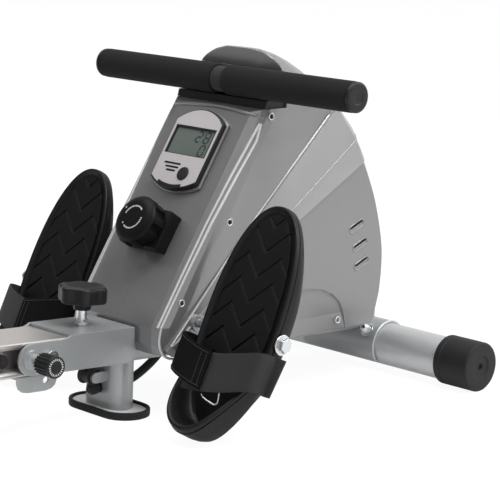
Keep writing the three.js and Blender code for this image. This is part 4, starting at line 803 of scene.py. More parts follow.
VENTS = [(459, 223), (468, 196), (473, 169.5)]
VENT_LEAN = math.radians(67)
HOOD = {"ahead": 1.5, "out": 92.9, "lower": 2.2, "length": 21, "width": 9.6, "radius": 1.25}
SCREW_RIM = {"out": 3.6, "width": 8.6, "radius": 0.9}
ROUND = 0.02
FOOT_RIDGE = through([(113.4, 81.8, 121), (110.6, 82, 108), (111.4, 82.4, 97), (117, 83.4, 86.5),
                      (128, 86, 80.6), (150, 88, 79.8), (200, 88.2, 79.8), (286, 90, 79.8)], 5)
RIDGES.append((1.7, FOOT_RIDGE))
for node, side in SHELLS:
    parts = [(swept([Vector((x, side * y, z)) for x, y, z in line], radius, 14), HERE)
             for radius, line in RIDGES]
    standing(node + "_ridges", joined(*parts), silver_painted_highlight, node, smooth=80, stands_for=False)
    rims = [((x, side * (depth + SCREW_RIM["out"]), z), (0, side, 0), (1, 0, 0)) for x, z, depth in SCREWS]
    repeated(node + "_screw_rims", slot_rim(ROUND, SCREW_RIM["width"], SCREW_RIM["radius"]), rims,
             silver_painted_highlight, node, smooth=80)
    lie = (math.sin(VENT_LEAN), 0, math.cos(VENT_LEAN))
    hoods = [((x + HOOD["ahead"], side * HOOD["out"], z - HOOD["lower"]), (0, side, 0), lie)
             for x, z in VENTS]
    repeated(node + "_vent_rims", slot_rim(HOOD["length"], HOOD["width"], HOOD["radius"]), hoods, silver,
             node, smooth=80)

# Belt of the flank: a shallow raised facet that widens from the crease to the
# nose, moulded in one with each shell. A fine line runs along its middle.
BELT = {"top": [(250, 228.5), (403, 374.5), (427, 396)], "line": [(250, 205), (331.5, 256.6), (461, 349.5)],
        "low": [(250, 190), (347, 243.3), (486, 319)], "steps": 48, "across": 12, "lift": 0.45, "rise": 2.2,
        "root": -0.9, "line_from": 0.12, "line_radius": 0.75}


def on_flank(surface, side, x, z, out=0.0):
    """The point of a shell's outer wall at a place of the side view."""
    hit = surface.ray_cast(Vector((x, side * 200, z)), Vector((0, -side, 0)))[0]
    return Vector((x, hit.y + side * out, z))


def along(points, share):
    """The place at a share of a broken line's reach in x."""
    x = points[0][0] + (points[-1][0] - points[0][0]) * share
    for (x0, z0), (x1, z1) in zip(points, points[1:]):
        if x <= x1 + 1e-6:
            return Vector((x, z0 + (z1 - z0) * (x - x0) / (x1 - x0)))


# A lighter copy of the silver moulding for the belt and its line: their extra brightness is a painted
# highlight.
belt_painted_highlight = finish("silver_belt_painted_highlight", (0.345, 0.345, 0.35), 0.29, metallic=0.45, grain=5200, height=0.0,
                     coat=0.45, coat_roughness=0.2, wear_and_highlight=0.0)
for node, side in SHELLS:
    surface = shell_surfaces[node]
    rings = []
    for step in range(BELT["steps"] + 1):
        top, low = (along(BELT[edge], step / BELT["steps"]) for edge in ("top", "low"))
        places = [top.lerp(low, part / BELT["across"]) for part in range(BELT["across"] + 1)]
        raised = [on_flank(surface, side, *place, BELT["lift"] + BELT["rise"] * part / BELT["across"])
                  for part, place in enumerate(places)]
        rings.append([*raised, *(on_flank(surface, side, *place, BELT["root"])
                                 for place in reversed(places))])
    standing(node + "_belt", lofted(rings), belt_painted_highlight, node, smooth=20, stands_for=False)
    fine = []
    for step in range(BELT["steps"] + 1):
        share = BELT["line_from"] + (1 - BELT["line_from"]) * step / BELT["steps"]
        top, line, low = (along(BELT[edge], share) for edge in ("top", "line", "low"))
        down = (line - top).length / (low - top).length
        fine.append(on_flank(surface, side, *line, BELT["lift"] + BELT["rise"] * down))
    standing(node + "_belt_line", swept(fine, BELT["line_radius"], 8), belt_painted_highlight, node, smooth=80,
             stands_for=False)

# Ledge lip and arch panels: the rolled lip of the ledge under the handle, and
# the shallow panel at the foot of each flank, moulded in one with the shells.
LIP_RADIUS = 2.6
LEDGE_LIP = [(281, -83, 379), (274, -77, 381), (270.8, -62, 383.6), (271.4, -32, 385.6), (271.6, 0, 386.2),
             (271.4, 32, 385.6), (270.8, 62, 383.6), (274, 77, 381), (281, 83, 379)]
standing("housing_ledge_lip", swept(through(LEDGE_LIP, 6), LIP_RADIUS, 16, Vector((0, 0, 1))), silver,
         "housing_right", smooth=80, stands_for=False)
ARCH = [(293.5, 80), (295.5, 116), (298, 128), (306, 136), (322, 141), (345, 142), (372, 141), (398, 136),
        (416, 128), (430, 117), (440, 105), (446, 92), (448, 80)]
ARCH_TOP, ARCH_FOOT = 142, 80
for node, side in SHELLS:
    faces = [[Vector((x, side * (y + (ARCH_TOP - z) / (ARCH_TOP - ARCH_FOOT) * lean), z)) for x, z in ARCH]
             for y, lean in ((87, 0), (88.1, 4.5))]
    standing(node + "_arch_panel", lofted(faces), silver, node, smooth=20, stands_for=False)

# Cradle: a soft black moulding that stands on the housing's ledge and holds
# the handle when nobody is rowing.
refined("handle_cradle", black_plastic, 30)

# Console: a silver plate on a black case with arched ends, drawn in the frame
# of the slanted face. Its window shows a liquid crystal screen.
FACE = MACHINE @ Matrix.Translation((106, 0, 121)) @ Matrix.Rotation(math.radians(-58.1), 4, "Y")
CONSOLE = {"low": 184, "high": 302, "half": 44, "y": 2, "top_arch": 17, "low_arch": 13, "proud": 9}
WINDOW = {"low": 233, "high": 275, "half": 38.5}


def console_ring(grow, z, steps=18):
    """The console's outline at height z: an arch at each end and straight sides."""
    half = CONSOLE["half"] + grow
    ring = []
    for end, rise, out in ((CONSOLE["high"] + grow, CONSOLE["top_arch"], 1),
                           (CONSOLE["low"] - grow, CONSOLE["low_arch"], -1)):
        radius = (half ** 2 + rise ** 2) / (2 * rise)
        sweep = math.asin(half / radius)
        for step in range(steps + 1):
            angle = -sweep + 2 * sweep * step / steps
            ring.append(Vector((end + out * radius * (math.cos(angle) - 1),
                                CONSOLE["y"] + out * radius * math.sin(angle), z)))
    return ring


def with_window(outline, low, high):
    """A plate of the console's outline with the screen's opening through it."""
    bm = bmesh.new()
    window = [(WINDOW["low"], -1), (WINDOW["high"], -1), (WINDOW["high"], 1), (WINDOW["low"], 1)]
    opening = [Vector((a, CONSOLE["y"] + side * WINDOW["half"], 0)) for a, side in window]
    loops = []
    for z in (low, high):
        edges = []
        for ring in (outline, opening):
            verts = [bm.verts.new((point.x, point.y, z)) for point in ring]
            edges += [bm.edges.new(pair) for pair in zip(verts, verts[1:] + verts[:1])]
            loops.append(verts)
        bmesh.ops.triangle_fill(bm, edges=edges, use_beauty=True)
    for one, two in ((loops[0], loops[2]), (loops[1], loops[3])):
        skin_between(bm, one, two)
    return mesh_of(bm)


proud = CONSOLE["proud"]
case_rings = [console_ring(grow, z)
              for grow, z in ((0, 0.4), (0, proud - 1.6), (-0.5, proud - 0.5), (-1.4, proud))]
standing("console_case_black", lofted([*case_rings, console_ring(-3.4, proud), console_ring(-3.4, 3)]),
         black_plastic, "console_case", FACE)
plate_silver = finish("plate_silver", (0.63, 0.595, 0.6), 0.38, metallic=0.35, grain=7000, height=0.03,
                      wear_and_highlight=0.1, edge=0.0004)
standing("console_plate", with_window(console_ring(-2.2, 0), proud - 1.2, proud + 1), plate_silver,
         "console_case", FACE, stands_for=False)


def frame_strip(outer, inner, low, high):
    """A flat rectangular frame between two (low, high, half width) outlines."""
    rings = []
    for (a0, a1, half), z in ((inner, low), (outer, low), (outer, high), (inner, high)):
        rings.append([Vector((a, CONSOLE["y"] + b, z))
                      for a, b in ((a0, -half), (a1, -half), (a1, half), (a0, half))])
    bm = bmesh.new()
    rows = [[bm.verts.new(point) for point in ring] for ring in rings]
    for one, two in zip(rows, rows[1:] + rows[:1]):
        skin_between(bm, one, two)
    return mesh_of(bm)


bezel_rings = [console_ring(grow, z)
               for grow, z in ((0.3, 0.2), (2.6, 0.2), (2.4, 2.6), (1.7, 3.4), (0.9, 3.5), (0.3, 3.3))]
standing("console_bezel", lofted(bezel_rings), silver, "console_case", FACE, stands_for=False)
standing("screen_gasket", frame_strip((233.1, 274.9, 38.4), (234.2, 272.4, 36), 5.6, 9.2), black_plastic,
         "console_case", FACE, stands_for=False)

# Screen: grey-green liquid crystal under a glossy window, faintly mottled. It
# is one flat pane, held in the plate's opening by the gasket.
screen_glass = finish("screen_glass", (0.115, 0.14, 0.127), 0.32, grain=900, height=0.0, shade_change=0.16,
                      wear_and_highlight=0.0, coat=0.25, coat_roughness=0.04)
PANE = [(233.4, -38), (274.6, -38), (274.6, 38), (233.4, 38)]
standing("screen_window", lofted([[Vector((a, CONSOLE["y"] + b, z)) for a, b in PANE] for z in (5.8, 7.4)]),
         screen_glass, "console_screen", FACE)

# Digits of the screen: bars of seven-part figures, dark and slightly sheared,
# set on the window. The readings are plain numbers.
DIGIT = {"height": 15, "width": 8.4, "bar": 2.6, "bar_length": 7.1, "thick": 0.2, "level": 7.45,
         "slant": 0.09}
FIGURES = {"0": "abcdef", "2": "abged", "8": "abcdefg"}
dark_crystal = finish("dark_crystal", (0.018, 0.028, 0.025), 0.5, height=0.0, wear_and_highlight=0.0)


def figure_places(figure, along, y):
    """The middle, facing and lie of each bar of one figure."""
    half_h, half_w = DIGIT["height"] / 2, DIGIT["width"] / 2
    spots = {"a": (half_h, 0, 0), "d": (-half_h, 0, 0), "g": (0, 0, 0), "b": (half_h / 2, -half_w, 1),
             "c": (-half_h / 2, -half_w, 1), "f": (half_h / 2, half_w, 1), "e": (-half_h / 2, half_w, 1)}
    places = []
    for bar in FIGURES[figure]:
        a, b, upright = spots[bar]
        places.append(((along + a, y + b - a * DIGIT["slant"], DIGIT["level"]), (0, 0, 1),
                       (1, -DIGIT["slant"], 0) if upright else (0, 1, 0)))
    return places


def bar_unit(length, width, height):
    """A flat bar with pointed ends, along X, facing +Z."""
    end, side = length / 2, width / 2
    outline = [(-end, 0), (side - end, -side), (end - side, -side), (end, 0), (end - side, side),
               (side - end, side)]
    return lofted([[Vector((a, b, z)) for a, b in outline] for z in (-height / 2, height / 2)])


READINGS = (("2", 262.5, -8), ("8", 262.5, -22.5), ("0", 243.5, -22.5))
places = [place for reading in READINGS for place in figure_places(*reading)]
repeated("screen_figures", bar_unit(DIGIT["bar_length"], DIGIT["bar"], DIGIT["thick"]), places, dark_crystal,
         "console_screen", FACE)


# Prints and button of the console: three black bars that shorten downwards,
# a black tab in the lower arch, and the one rubber button.
def slab(outline, low, high):
    """A flat plate over an outline of (along, across) points."""
    return lofted([[Vector((a, b, z)) for a, b in outline] for z in (low, high)])


PRINT_TOP = proud + 1.12
bars = [(219.4, 29.5, 219.4, 0.8), (214.2, 24.6, 214.2, 2.4), (209.2, 20.4, 209.2, 5.7)]
parts = [(slab(round_bar(*bar, 2.8), proud + 0.9, PRINT_TOP), HERE) for bar in bars]
standing("console_bars", joined(*parts), black_plastic, "console_case", FACE, stands_for=False)
TAB = {"right": -19, "left": 27, "deep": 4.6, "narrow": 0.97, "aside": 0.3}
outer_arch = [point for point in console_ring(-1.2, 0, 36)[37:] if TAB["right"] < point.y < TAB["left"]]
inner_arch = [Vector((point.x + TAB["deep"], point.y * TAB["narrow"] + TAB["aside"], 0))
              for point in reversed(outer_arch)]
tab = slab([(point.x, point.y) for point in (*outer_arch, *inner_arch)], proud - 1, proud + 1.5)
standing("console_tab", tab, black_plastic, "console_case", FACE, stands_for=False)
BUTTON = {"along": 207.3, "y": -12, "radius": 9.6}
button_top = [(0, 5.2), (BUTTON["radius"], 5.2), (BUTTON["radius"], 10.9), (BUTTON["radius"] - 1.1, 11.7),
              (4, 12), (0, 11.8)]
standing("mode_button_cap", turned(eased(button_top, 0.6), 56), black_rubber, "mode_button",
         FACE @ Matrix.Translation((BUTTON["along"], BUTTON["y"], 0)) @ LIE_FLAT)

# Resistance dial: a black moulded knob with nine thumb flutes on a square
# block that sits on the housing's seam. Its face has pale marks and dots.
KNOB = {"along": 124, "base_half": 27, "base_half_width": 36, "base": 20, "base_corner": 3.2, "base_low": 0.4,
        "base_ease": 1.4, "flutes": 9, "flute_half": 6.4, "flute_depth": 4.4, "flute_top": 39.5,
        "flute_fade": 2.5, "core": 28}
KNOB_AT = FACE @ Matrix.Translation((KNOB["along"], 0, 0))


def rounded_block(half_a, half_b, corner, low, high, ease, steps=6):
    """A square block with round corners and eased upper edges."""
    rings = []
    for inset, z in ((0, low), (0, high - ease), (ease * 0.3, high - ease * 0.3), (ease, high)):
        ring = []
        for quarter, (sa, sb) in enumerate(((1, 1), (-1, 1), (-1, -1), (1, -1))):
            for step in range(steps + 1):
                angle = (quarter + step / steps) * math.pi / 2
                ring.append(Vector((sa * (half_a - corner) + (corner - inset) * math.cos(angle),
                                    sb * (half_b - corner) + (corner - inset) * math.sin(angle), z)))
        rings.append(ring)
    return lofted(rings)


satin_black = finish("satin_black", (0.0065, 0.0065, 0.0072), 0.4, height=0.1, grain=3400, wear_and_highlight=0.2,
                     shine=0.12)
block = rounded_block(KNOB["base_half"], KNOB["base_half_width"], KNOB["base_corner"], KNOB["base_low"],
                      KNOB["base"], KNOB["base_ease"])
standing("knob_base_block", block, satin_black, "knob_base", KNOB_AT)


def fluted(radius, z, angle):
    """The dial's radius: thumb flutes run up its side and fade out under the face."""
    if radius < KNOB["core"] or z < KNOB["base"]:
        return radius
    turn_share = (angle * KNOB["flutes"] / math.tau) % 1
    off_centre = abs(turn_share - 0.5) * math.tau / KNOB["flutes"] * radius
    depth = max(0.0, 1 - (off_centre / KNOB["flute_half"]) ** 4) * KNOB["flute_depth"]
    fade = max(0.0, min(1.0, (KNOB["flute_top"] - z) / KNOB["flute_fade"]))
    return radius - depth * fade


side_levels = [(33, z) for z in (20.4, 24, 28, 32, 35, 36.5, 37.5, 38.5, 39.5)]
dial_profile = [(0, 20.3), (32.4, 20.3), *side_levels, (32.6, 40.4), (31.6, 41.8), (29.4, 43.4), (26.6, 44.6),
                (23.6, 45.6), (20.5, 46), (12, 45.8), (0, 45.8)]
standing("tension_dial", turned(dial_profile, 216, fluted), satin_black, "tension_knob", KNOB_AT @ LIE_FLAT)
pale_print = finish("pale_print", (0.72, 0.72, 0.73), 0.5, height=0.0, wear_and_highlight=0.0)
DIAL_MARKS = {"radius": 15.8, "level": 45.95, "pitch": 9.5, "dot_level": 45.9}
for share, first, count in ((0, 150, 14), (1, 330, 12)):
    places = []
    for index in range(count):
        angle = math.radians(first + index * DIAL_MARKS["pitch"])
        out = Vector((math.cos(angle), math.sin(angle), 0))
        places.append((out * DIAL_MARKS["radius"] + Vector((0, 0, DIAL_MARKS["level"])), (0, 0, 1), out))
    repeated(f"dial_marks_{share}", slab([(-1.1, -0.75), (1.1, -1.0), (1.1, 1.0), (-1.1, 0.75)], -0.1, 0.1),
             places, pale_print, "tension_knob", KNOB_AT)
dots = [((r * math.cos(math.radians(a)), r * math.sin(math.radians(a)), DIAL_MARKS["dot_level"]), (0, 0, 1),
         (1, 0, 0)) for r, a in ((21.5, 60), (16, 130), (16, 320))]
repeated("dial_dots", turned([(0, -0.2), (1.5, -0.2), (1.5, 0.1), (0, 0.1)], 20), dots, pale_print,
         "tension_knob", KNOB_AT)

# Handle: two black foam grips and their moulded end caps on a steel bar. The
# foam is pushed on and the caps are pressed into the bar's ends.
HANDLE = {"x": 287, "z": 421.5, "half": 240, "bar": 12.5, "gap": 10.5, "cap": 6}
HANDLE_AT = MACHINE @ Matrix.Translation((HANDLE["x"], 0, HANDLE["z"]))
grip_foam = finish("grip_foam", (0.0165, 0.0165, 0.017), 0.92, height=0.55, depth=0.0006, grain=1100,
                   gloss_change=0.1, shade_change=0.3, wear_and_highlight=0.1, shine=0.2)
bright_steel = finish("bright_steel", (0.5, 0.51, 0.52), 0.28, metallic=1.0)
bar_half = HANDLE["half"] - HANDLE["cap"] - 1
bar_outline = [(0, -bar_half), (HANDLE["bar"], -bar_half), (HANDLE["bar"], bar_half), (0, bar_half)]
standing("handle_bar_steel", turned(bar_outline, 48), bright_steel, "handle_bar", HANDLE_AT)
grip_in, grip_out = HANDLE["gap"] + 0.4, HANDLE["half"] - HANDLE["cap"]
grip_profile = eased([(12.8, grip_in), (20, grip_in), (20, grip_out), (12.8, grip_out)], 3.4,
                     6) + [(12.8, grip_in)]
cap_profile = eased([(0, 234.4), (19.6, 234.4), (19.6, 238.6), (17.2, 240), (9, 240), (8.2, 239.2),
                     (0, 239.2)], 0.8)
for side, flip in (("left", HERE), ("right", HALF_TURN)):
    standing(f"grip_{side}_foam", turned(grip_profile, 72), grip_foam, f"grip_{side}", HANDLE_AT @ flip)
    standing(f"grip_cap_{side}_moulded", turned(cap_profile, 64), black_plastic, f"grip_cap_{side}",
             HANDLE_AT @ flip)


# Strap loop: black webbing sewn round the bar between the grips, its two ends
# brought together towards the housing.
def weave():
    """Plain weave from a piece's own map in millimetres, as a height."""
    group, given, made = new_group("weave", [("Across", 1.0), ("Along", 1.0)], [("Height", "Float")])
    chart = add_node(group, "ShaderNodeUVMap").outputs[0]
    split = add_node(group, "ShaderNodeSeparateXYZ", {0: chart}).outputs
    waves = []
    for axis, title in (("X", "Across"), ("Y", "Along")):
        turns = worked_out(group, "DIVIDE", split[axis], given.outputs[title])
        waves.append(worked_out(group, "SINE", worked_out(group, "MULTIPLY", turns, math.pi)))
    which = worked_out(group, "GREATER_THAN", worked_out(group, "MULTIPLY", *waves), 0)
    ridges = [worked_out(group, "ABSOLUTE", wave) for wave in waves]
    mix = add_node(group, "ShaderNodeMix", {"Factor": which, "A": ridges[0], "B": ridges[1]})
    group.links.new(mix.outputs["Result"], made.inputs["Height"])
    return group


black_webbing = cloth_finish("black_webbing", (0.0075, 0.0075, 0.008), weave(), {"Across": 1.3, "Along": 0.9})


def band(stations, thickness, columns=14):
    """A strip of webbing over stations of (one edge, other edge, facing), with a map in millimetres."""
    bm = bmesh.new()
    chart = bm.loops.layers.uv.new("map")
    along = 0.0
    rows = []
    for index, (left, right, facing) in enumerate(stations):
        before = stations[max(index - 1, 0)]
        along += ((left + right) / 2 - (before[0] + before[1]) / 2).length
        width = (right - left).length
        row = []
        for share in range(columns + 1):
            t = share / columns
            trim = 0.5 if 0 < share < columns else 0.32
            middle = left.lerp(right, t)
            row.append([bm.verts.new(middle + facing * thickness * trim * side) for side in (1, -1)]
                       + [t * width])
        rows.append((row, along))

    def charted_face(corners):
        """A face from (vertex, its place on the map) pairs."""
        made = bm.faces.new([vert for vert, uv in corners])
        for loop, (vert, uv) in zip(made.loops, corners):
            loop[chart].uv = uv

    for (one, low), (two, high) in zip(rows, rows[1:]):
        for a, b, c, d in zip(one, one[1:], two[1:], two):
            for side in (0, 1):
                charted_face([(a[side], (a[2], low)), (b[side], (b[2], low)), (c[side], (c[2], high)),
                              (d[side], (d[2], high))])
        for a, d in ((one[0], two[0]), (one[-1], two[-1])):
            charted_face([(a[0], (a[2], low)), (a[1], (a[2], low)), (d[1], (d[2], high)),
                          (d[0], (d[2], high))])
    for row, length in (rows[0], rows[-1]):
        for a, b in zip(row, row[1:]):
            charted_face([(a[0], (a[2], length)), (a[1], (a[2], length)), (b[1], (b[2], length)),
                          (b[0], (b[2], length))])
    return mesh_of(bm)


def ribbon_stations(path, half):
    """Stations of a strip that runs in the machine's length, its width across it."""
    stations = []
    for index, point in enumerate(path):
        ahead = heading(path, index).normalized()
        stations.append((point + Vector((0, -half, 0)), point + Vector((0, half, 0)),
                         ahead.cross(Vector((0, 1, 0)))))
    return stations


def arc(centre, radius, first, last, steps):
    """Points on a circle in the machine's length, from one angle to another in degrees."""
    angles = [math.radians(first + (last - first) * step / steps) for step in range(steps + 1)]
    return [Vector((centre[0] + radius * math.cos(a), 0, centre[1] + radius * math.sin(a))) for a in angles]


LOOP_RADIUS = 15.8
loop_run = [Vector((20.3, 0, 1.2)), Vector((17, 0, 3.5)), *arc((0, 0), LOOP_RADIUS, 28, 332, 56),
            Vector((17, 0, -3.5)), Vector((20.3, 0, -1.2))]
standing("strap_loop_sewn", band(ribbon_stations(loop_run, HANDLE["gap"] - 0.6), 2.6), black_webbing,
         "strap_loop", HANDLE_AT)

# Pull strap: flat webbing from the loop over the guide roller and down to
# the drum, drawn out with the handle.
GUIDE = {"x": 340, "z": 409.5, "radius": 11}
DRUM = {"x": 434, "z": 212, "radius": 31}
STRAP_THICK, STRAP_HALF, STRAP_PLAY = 2, 10, 0.3
STRAP_FROM, STRAP_STEP = 20.8, 1.5
over = GUIDE["radius"] + STRAP_PLAY + STRAP_THICK / 2
run = Vector((DRUM["x"] - GUIDE["x"], DRUM["z"] - GUIDE["z"]))
drum_reach = DRUM["radius"] + STRAP_PLAY + STRAP_THICK / 2
leave = math.degrees(math.atan2(run.y, run.x) + math.acos((over + drum_reach) / run.length))
strap_run = [Vector((HANDLE["x"] + STRAP_FROM + STRAP_STEP * step, 0, GUIDE["z"] + over))
             for step in range(21)]
strap_run += arc((GUIDE["x"], GUIDE["z"]), over, 90, leave, 14)
strap_run += arc((DRUM["x"], DRUM["z"]), drum_reach, leave + 180, leave + 277, 24)
pull_strap = drawn_piece("pull_strap_webbing", band(ribbon_stations(strap_run, STRAP_HALF), STRAP_THICK),
                         black_webbing, MACHINE, 40)
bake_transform(pull_strap)
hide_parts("pull_strap")

# Drive inside the housing: a cast flywheel, the strap drum beside it, its
# axle, the magnet lever and the guide roller. Little of it shows at the vents.
cast_iron = finish("cast_iron", (0.07, 0.072, 0.075), 0.6, metallic=0.5, height=0.3, grain=1400)
for node, material in (("flywheel_axle", bright_steel), ("flywheel", cast_iron),
                       ("strap_drum", black_plastic), ("magnet_arm", grey_coat),
                       ("guide_roller", black_plastic)):
    refined(node, material)

# Footrests: moulded black cups with a rolled lip, a high heel and a ribbed
# insert. Each turns on the axle; the lip is drawn from superellipse rings.
FOOT_TILT = math.radians(-65.5)
FOOTREST = {"x": 156.8, "y": 180, "z": 142.6, "length": 308, "width": 129, "power": 2.18}


def superellipse(angle, power):
    """A place on a rounded square of half width 1."""
    return [math.copysign(abs(value) ** (2 / power), value) for value in (math.cos(angle), math.sin(angle))]


def footrest_ring(inset, level, heel_reach=0.0, count=128):
    """A ring of the footrest, inset from its outline, at the height that level gives along it."""
    ring = []
    for angle in turn_steps(count):
        share = superellipse(angle, FOOTREST["power"])
        along = FOOTREST["length"] / 2 - inset
        u = along * share[0]
        if u < 0:
            u *= 1 + heel_reach / along
        ring.append(Vector((u, (FOOTREST["width"] / 2 - inset) * share[1], level(u))))
    return ring


def heel(u):
    """How far a place lies in the heel: 0 at the middle and 1 at the end."""
    return ramp(-u, 40, 150)


def toe(u):
    """How far a place lies in the toe."""
    return ramp(u, 20, 150)


def cup(u):
    """Height of the lip: low round the toe, high round the heel."""
    return 1.5 + 40 * heel(u)


def skirt(u):
    """Height of the cup's lower edge: deep under the middle."""
    return -26 + 24 * heel(u) + 13 * toe(u)


def footrest_body():
    """The cup as one skin: under side, flank, rolled lip and floor, from rings."""
    lower = [(5.4, lambda u: -6, 0), (4.8, lambda u: skirt(u) + 1.4 - 5 * heel(u), 0),
             (4.0, lambda u: skirt(u) + 0.3, 0), (2.8, skirt, 0), (1.9, lambda u: skirt(u) + 0.8, 0),
             (1.4, lambda u: skirt(u) + 3, 0), (0.4, lambda u: skirt(u) * 0.62 - 3, 0.8),
             (0, lambda u: -14 + 18 * heel(u) + 8 * toe(u), 2.2)]
    flank = [(0, lambda u: -9 + 22 * heel(u) + 4 * toe(u), 2.6), (0.2, lambda u: cup(u) - 7.5, 1.2),
             (1.3, lambda u: cup(u) - 6.9, 0), (1.3, lambda u: cup(u) - 6.2, -0.2),
             (0.2, lambda u: cup(u) - 5.6, -0.4), (0.3, lambda u: cup(u) - 2.4, -1.6),
             (0.7, lambda u: cup(u) - 1, -2), (1.6, lambda u: cup(u) - 0.2, -2.4)]
    lip = [(2.4, cup, -2.8), (3.4, lambda u: cup(u) - 0.1, -3.6), (4.2, lambda u: cup(u) - 0.7, -4.6),
           (4.8, lambda u: cup(u) - 1.8, -5)]
    floor = [(6.2, lambda u: -1.4 + 18 * heel(u), -5), (7.4, lambda u: -2.6 + 8 * heel(u), -5),
             (10, lambda u: -3 + 3.4 * heel(u), -4), (16, lambda u: -3, 0)]
    return lofted([footrest_ring(inset, level, reach) for inset, level, reach in lower + flank + lip + floor])


# The insert of each footrest: hard rubber with zigzag grooves from edge to
# edge, and faces between them that slope a little, so that they catch light.
TREAD = {"first": -72, "pitch": 33, "peak": 28, "top": -0.2, "inset": 12.5, "foot": -3.4, "rows": 8,
         "half_columns": 26}
TREAD_STEPS = [(0, -1.9), (0.9, -2.1), (1.8, -1.9), (2.4, -0.5), (3.2, -0.1), (14, -0.35), (26, -0.75),
               (31.8, -1.0), (32.4, -1.2)]


def zigzag(v):
    """How far a groove runs towards the toe at v: up to a peak on each side and back."""
    away = abs(v)
    return away if away < TREAD["peak"] else 2 * TREAD["peak"] - away


def tread_insert():
    """The insert: rows of zigzag steps, cut off at the outline, with a wall round them."""
    half_length = FOOTREST["length"] / 2 - TREAD["inset"]
    half_width = FOOTREST["width"] / 2 - TREAD["inset"]
    columns = sorted({-half_width + step * half_width / TREAD["half_columns"]
                      for step in range(2 * TREAD["half_columns"] + 1)} | {-TREAD["peak"], TREAD["peak"]})
    rows = [(TREAD["first"] - TREAD["pitch"] + turn * TREAD["pitch"] + step, height)
            for turn in range(TREAD["rows"]) for step, height in TREAD_STEPS]
    bm = bmesh.new()
    top = []
    for start, height in rows:
        row = []
        for v in columns:
            room = 1 - min(1, abs(v / half_width)) ** FOOTREST["power"]
            reach = half_length * room ** (1 / FOOTREST["power"])
            u = start + zigzag(v)
            inside = max(max(-reach, TREAD["first"]), min(u, reach))
            row.append(bm.verts.new((inside, v, TREAD["top"] + height)))
        top.append(row)
    for one, two in zip(top, top[1:]):
        for a, b, c, d in zip(one, one[1:], two[1:], two):
            if (a.co.x, b.co.x) != (d.co.x, c.co.x):
                bm.faces.new((a, b, c, d))
    bmesh.ops.delete(bm, geom=[vert for vert in bm.verts if not vert.link_faces], context="VERTS")
    bmesh.ops.remove_doubles(bm, verts=bm.verts, dist=1e-3)
    rim = [edge for edge in bm.edges if edge.is_boundary]
    wall = bmesh.ops.extrude_edge_only(bm, edges=rim)
    for vert in (item for item in wall["geom"] if isinstance(item, bmesh.types.BMVert)):
        vert.co.z = TREAD["foot"]
    bmesh.ops.holes_fill(bm, edges=[edge for edge in bm.edges if edge.is_boundary])
    return mesh_of(bm)


moulded_black = finish("moulded_black", (0.0075, 0.0075, 0.0083), 0.4, height=0.18, grain=2000, wear_and_highlight=0.3,
                       edge=0.0007, shine=0.22)
tread_rubber = finish("tread_rubber", (0.0055, 0.0055, 0.006), 0.44, height=0.12, grain=2400, wear_and_highlight=0.3,
                      edge=0.0005, shine=0.18)

# Foot straps: wide webbing from the outer flank, bowed over the foot, and held
# by a black hook-tape flap from the inner flank. A wire slider shows beside it.
STRAP_BAND = [(78, -13, -55), (72, -11.8, -55), (67.6, -10, -55), (67.0, -2, -55), (66.6, 8, -55.5),
              (64.4, 16.5, -57), (57, 22.8, -60), (44, 26.8, -64.5), (28, 29.2, -69), (12, 30.2, -72),
              (-4, 30.3, -74), (-20, 29.2, -75), (-34, 26.6, -75)]
STRAP_FLAP = [(-67.0, -22, -54), (-67.2, -8, -54), (-67.6, 6, -54), (-68, 15, -54.5), (-64.5, 23.5, -56),
              (-55, 30, -59), (-42, 34, -63), (-26, 36, -67), (-10, 36, -70.5), (4, 34.6, -72.5)]
TWISTED = 10


def strap_stations(run, side, half, twist=0.0):
    """Stations of a strap drawn as (out, up, along) points; the first ones may be twisted."""
    path = through(run, 5)
    stations = []
    for index, point in enumerate(path):
        ahead = heading(path, index)
        facing = Vector((0, -side * ahead.y, ahead.x)).normalized()
        lean = twist * max(0, TWISTED - index) / TWISTED
        edges = [Vector((point.z + end * half, side * point.x, point.y - end * lean)) for end in (-1, 1)]
        stations.append((*edges, facing))
    return stations


hook_tape = finish("hook_tape", (0.006, 0.006, 0.0065), 0.95, shine=0.1, height=1.0, depth=0.0009, grain=900,
                   gloss_change=0.02, shade_change=0.7, wear_and_highlight=0.0)
black_thread = finish("black_thread", (0.05, 0.05, 0.052), 0.7, height=0.1)
BAND = {"half": 25, "thick": 2.2, "twist": 3.5, "fold": 12, "stitch_lift": 1.15}
FLAP = {"half": 24.5, "thick": 3.4, "stitch_lift": 1.75, "rows": (0.07, 0.93), "row_from": 8, "row_to": 44,
        "cross_rows": (-3, -6)}
STITCH_PITCH = 3.4
SLIDER_WIRE = 1.15
SLIDER = [(-101, 3, 27), (-105, 10, 26), (-108.5, 26, 25), (-107, 29.5, 24.6), (-103, 31, 24.6),
          (-74, 25, 27), (-52, 18, 27.4), (-49.4, 16.4, 27.4), (-48.6, 13, 27.4), (-50, -2, 28)]


def stitch_unit(length=2.6, radius=0.34):
    """One sewn stitch: a short thread that dips in at both ends."""
    path = [Vector((length * (step / 6 - 0.5), 0, 0.22 * math.sin(math.pi * step / 6))) for step in range(7)]
    return swept(path, radius, 6)


def stitch_row(stations, share, first, last, lift):
    """Places of stitches along a strap, at a share of its width."""
    places = []
    pairs = zip(stations[first:last], stations[first + 1:last + 1])
    for (left, right, facing), (left_after, right_after, _) in pairs:
        here, there = left.lerp(right, share), left_after.lerp(right_after, share)
        steps = max(1, round((there - here).length / STITCH_PITCH))
        for step in range(steps):
            places.append((here.lerp(there, (step + 0.5) / steps) + facing * lift, facing, there - here))
    return places


def stitch_across(station, lift, inset=3.0):
    """Places of a row of stitches across a strap."""
    left, right, facing = station
    lie = (right - left).normalized()
    count = int(((right - left).length - 2 * inset) / STITCH_PITCH)
    return [(left + lie * (inset + STITCH_PITCH * (step + 0.5)) + facing * lift, facing, lie)
            for step in range(count)]


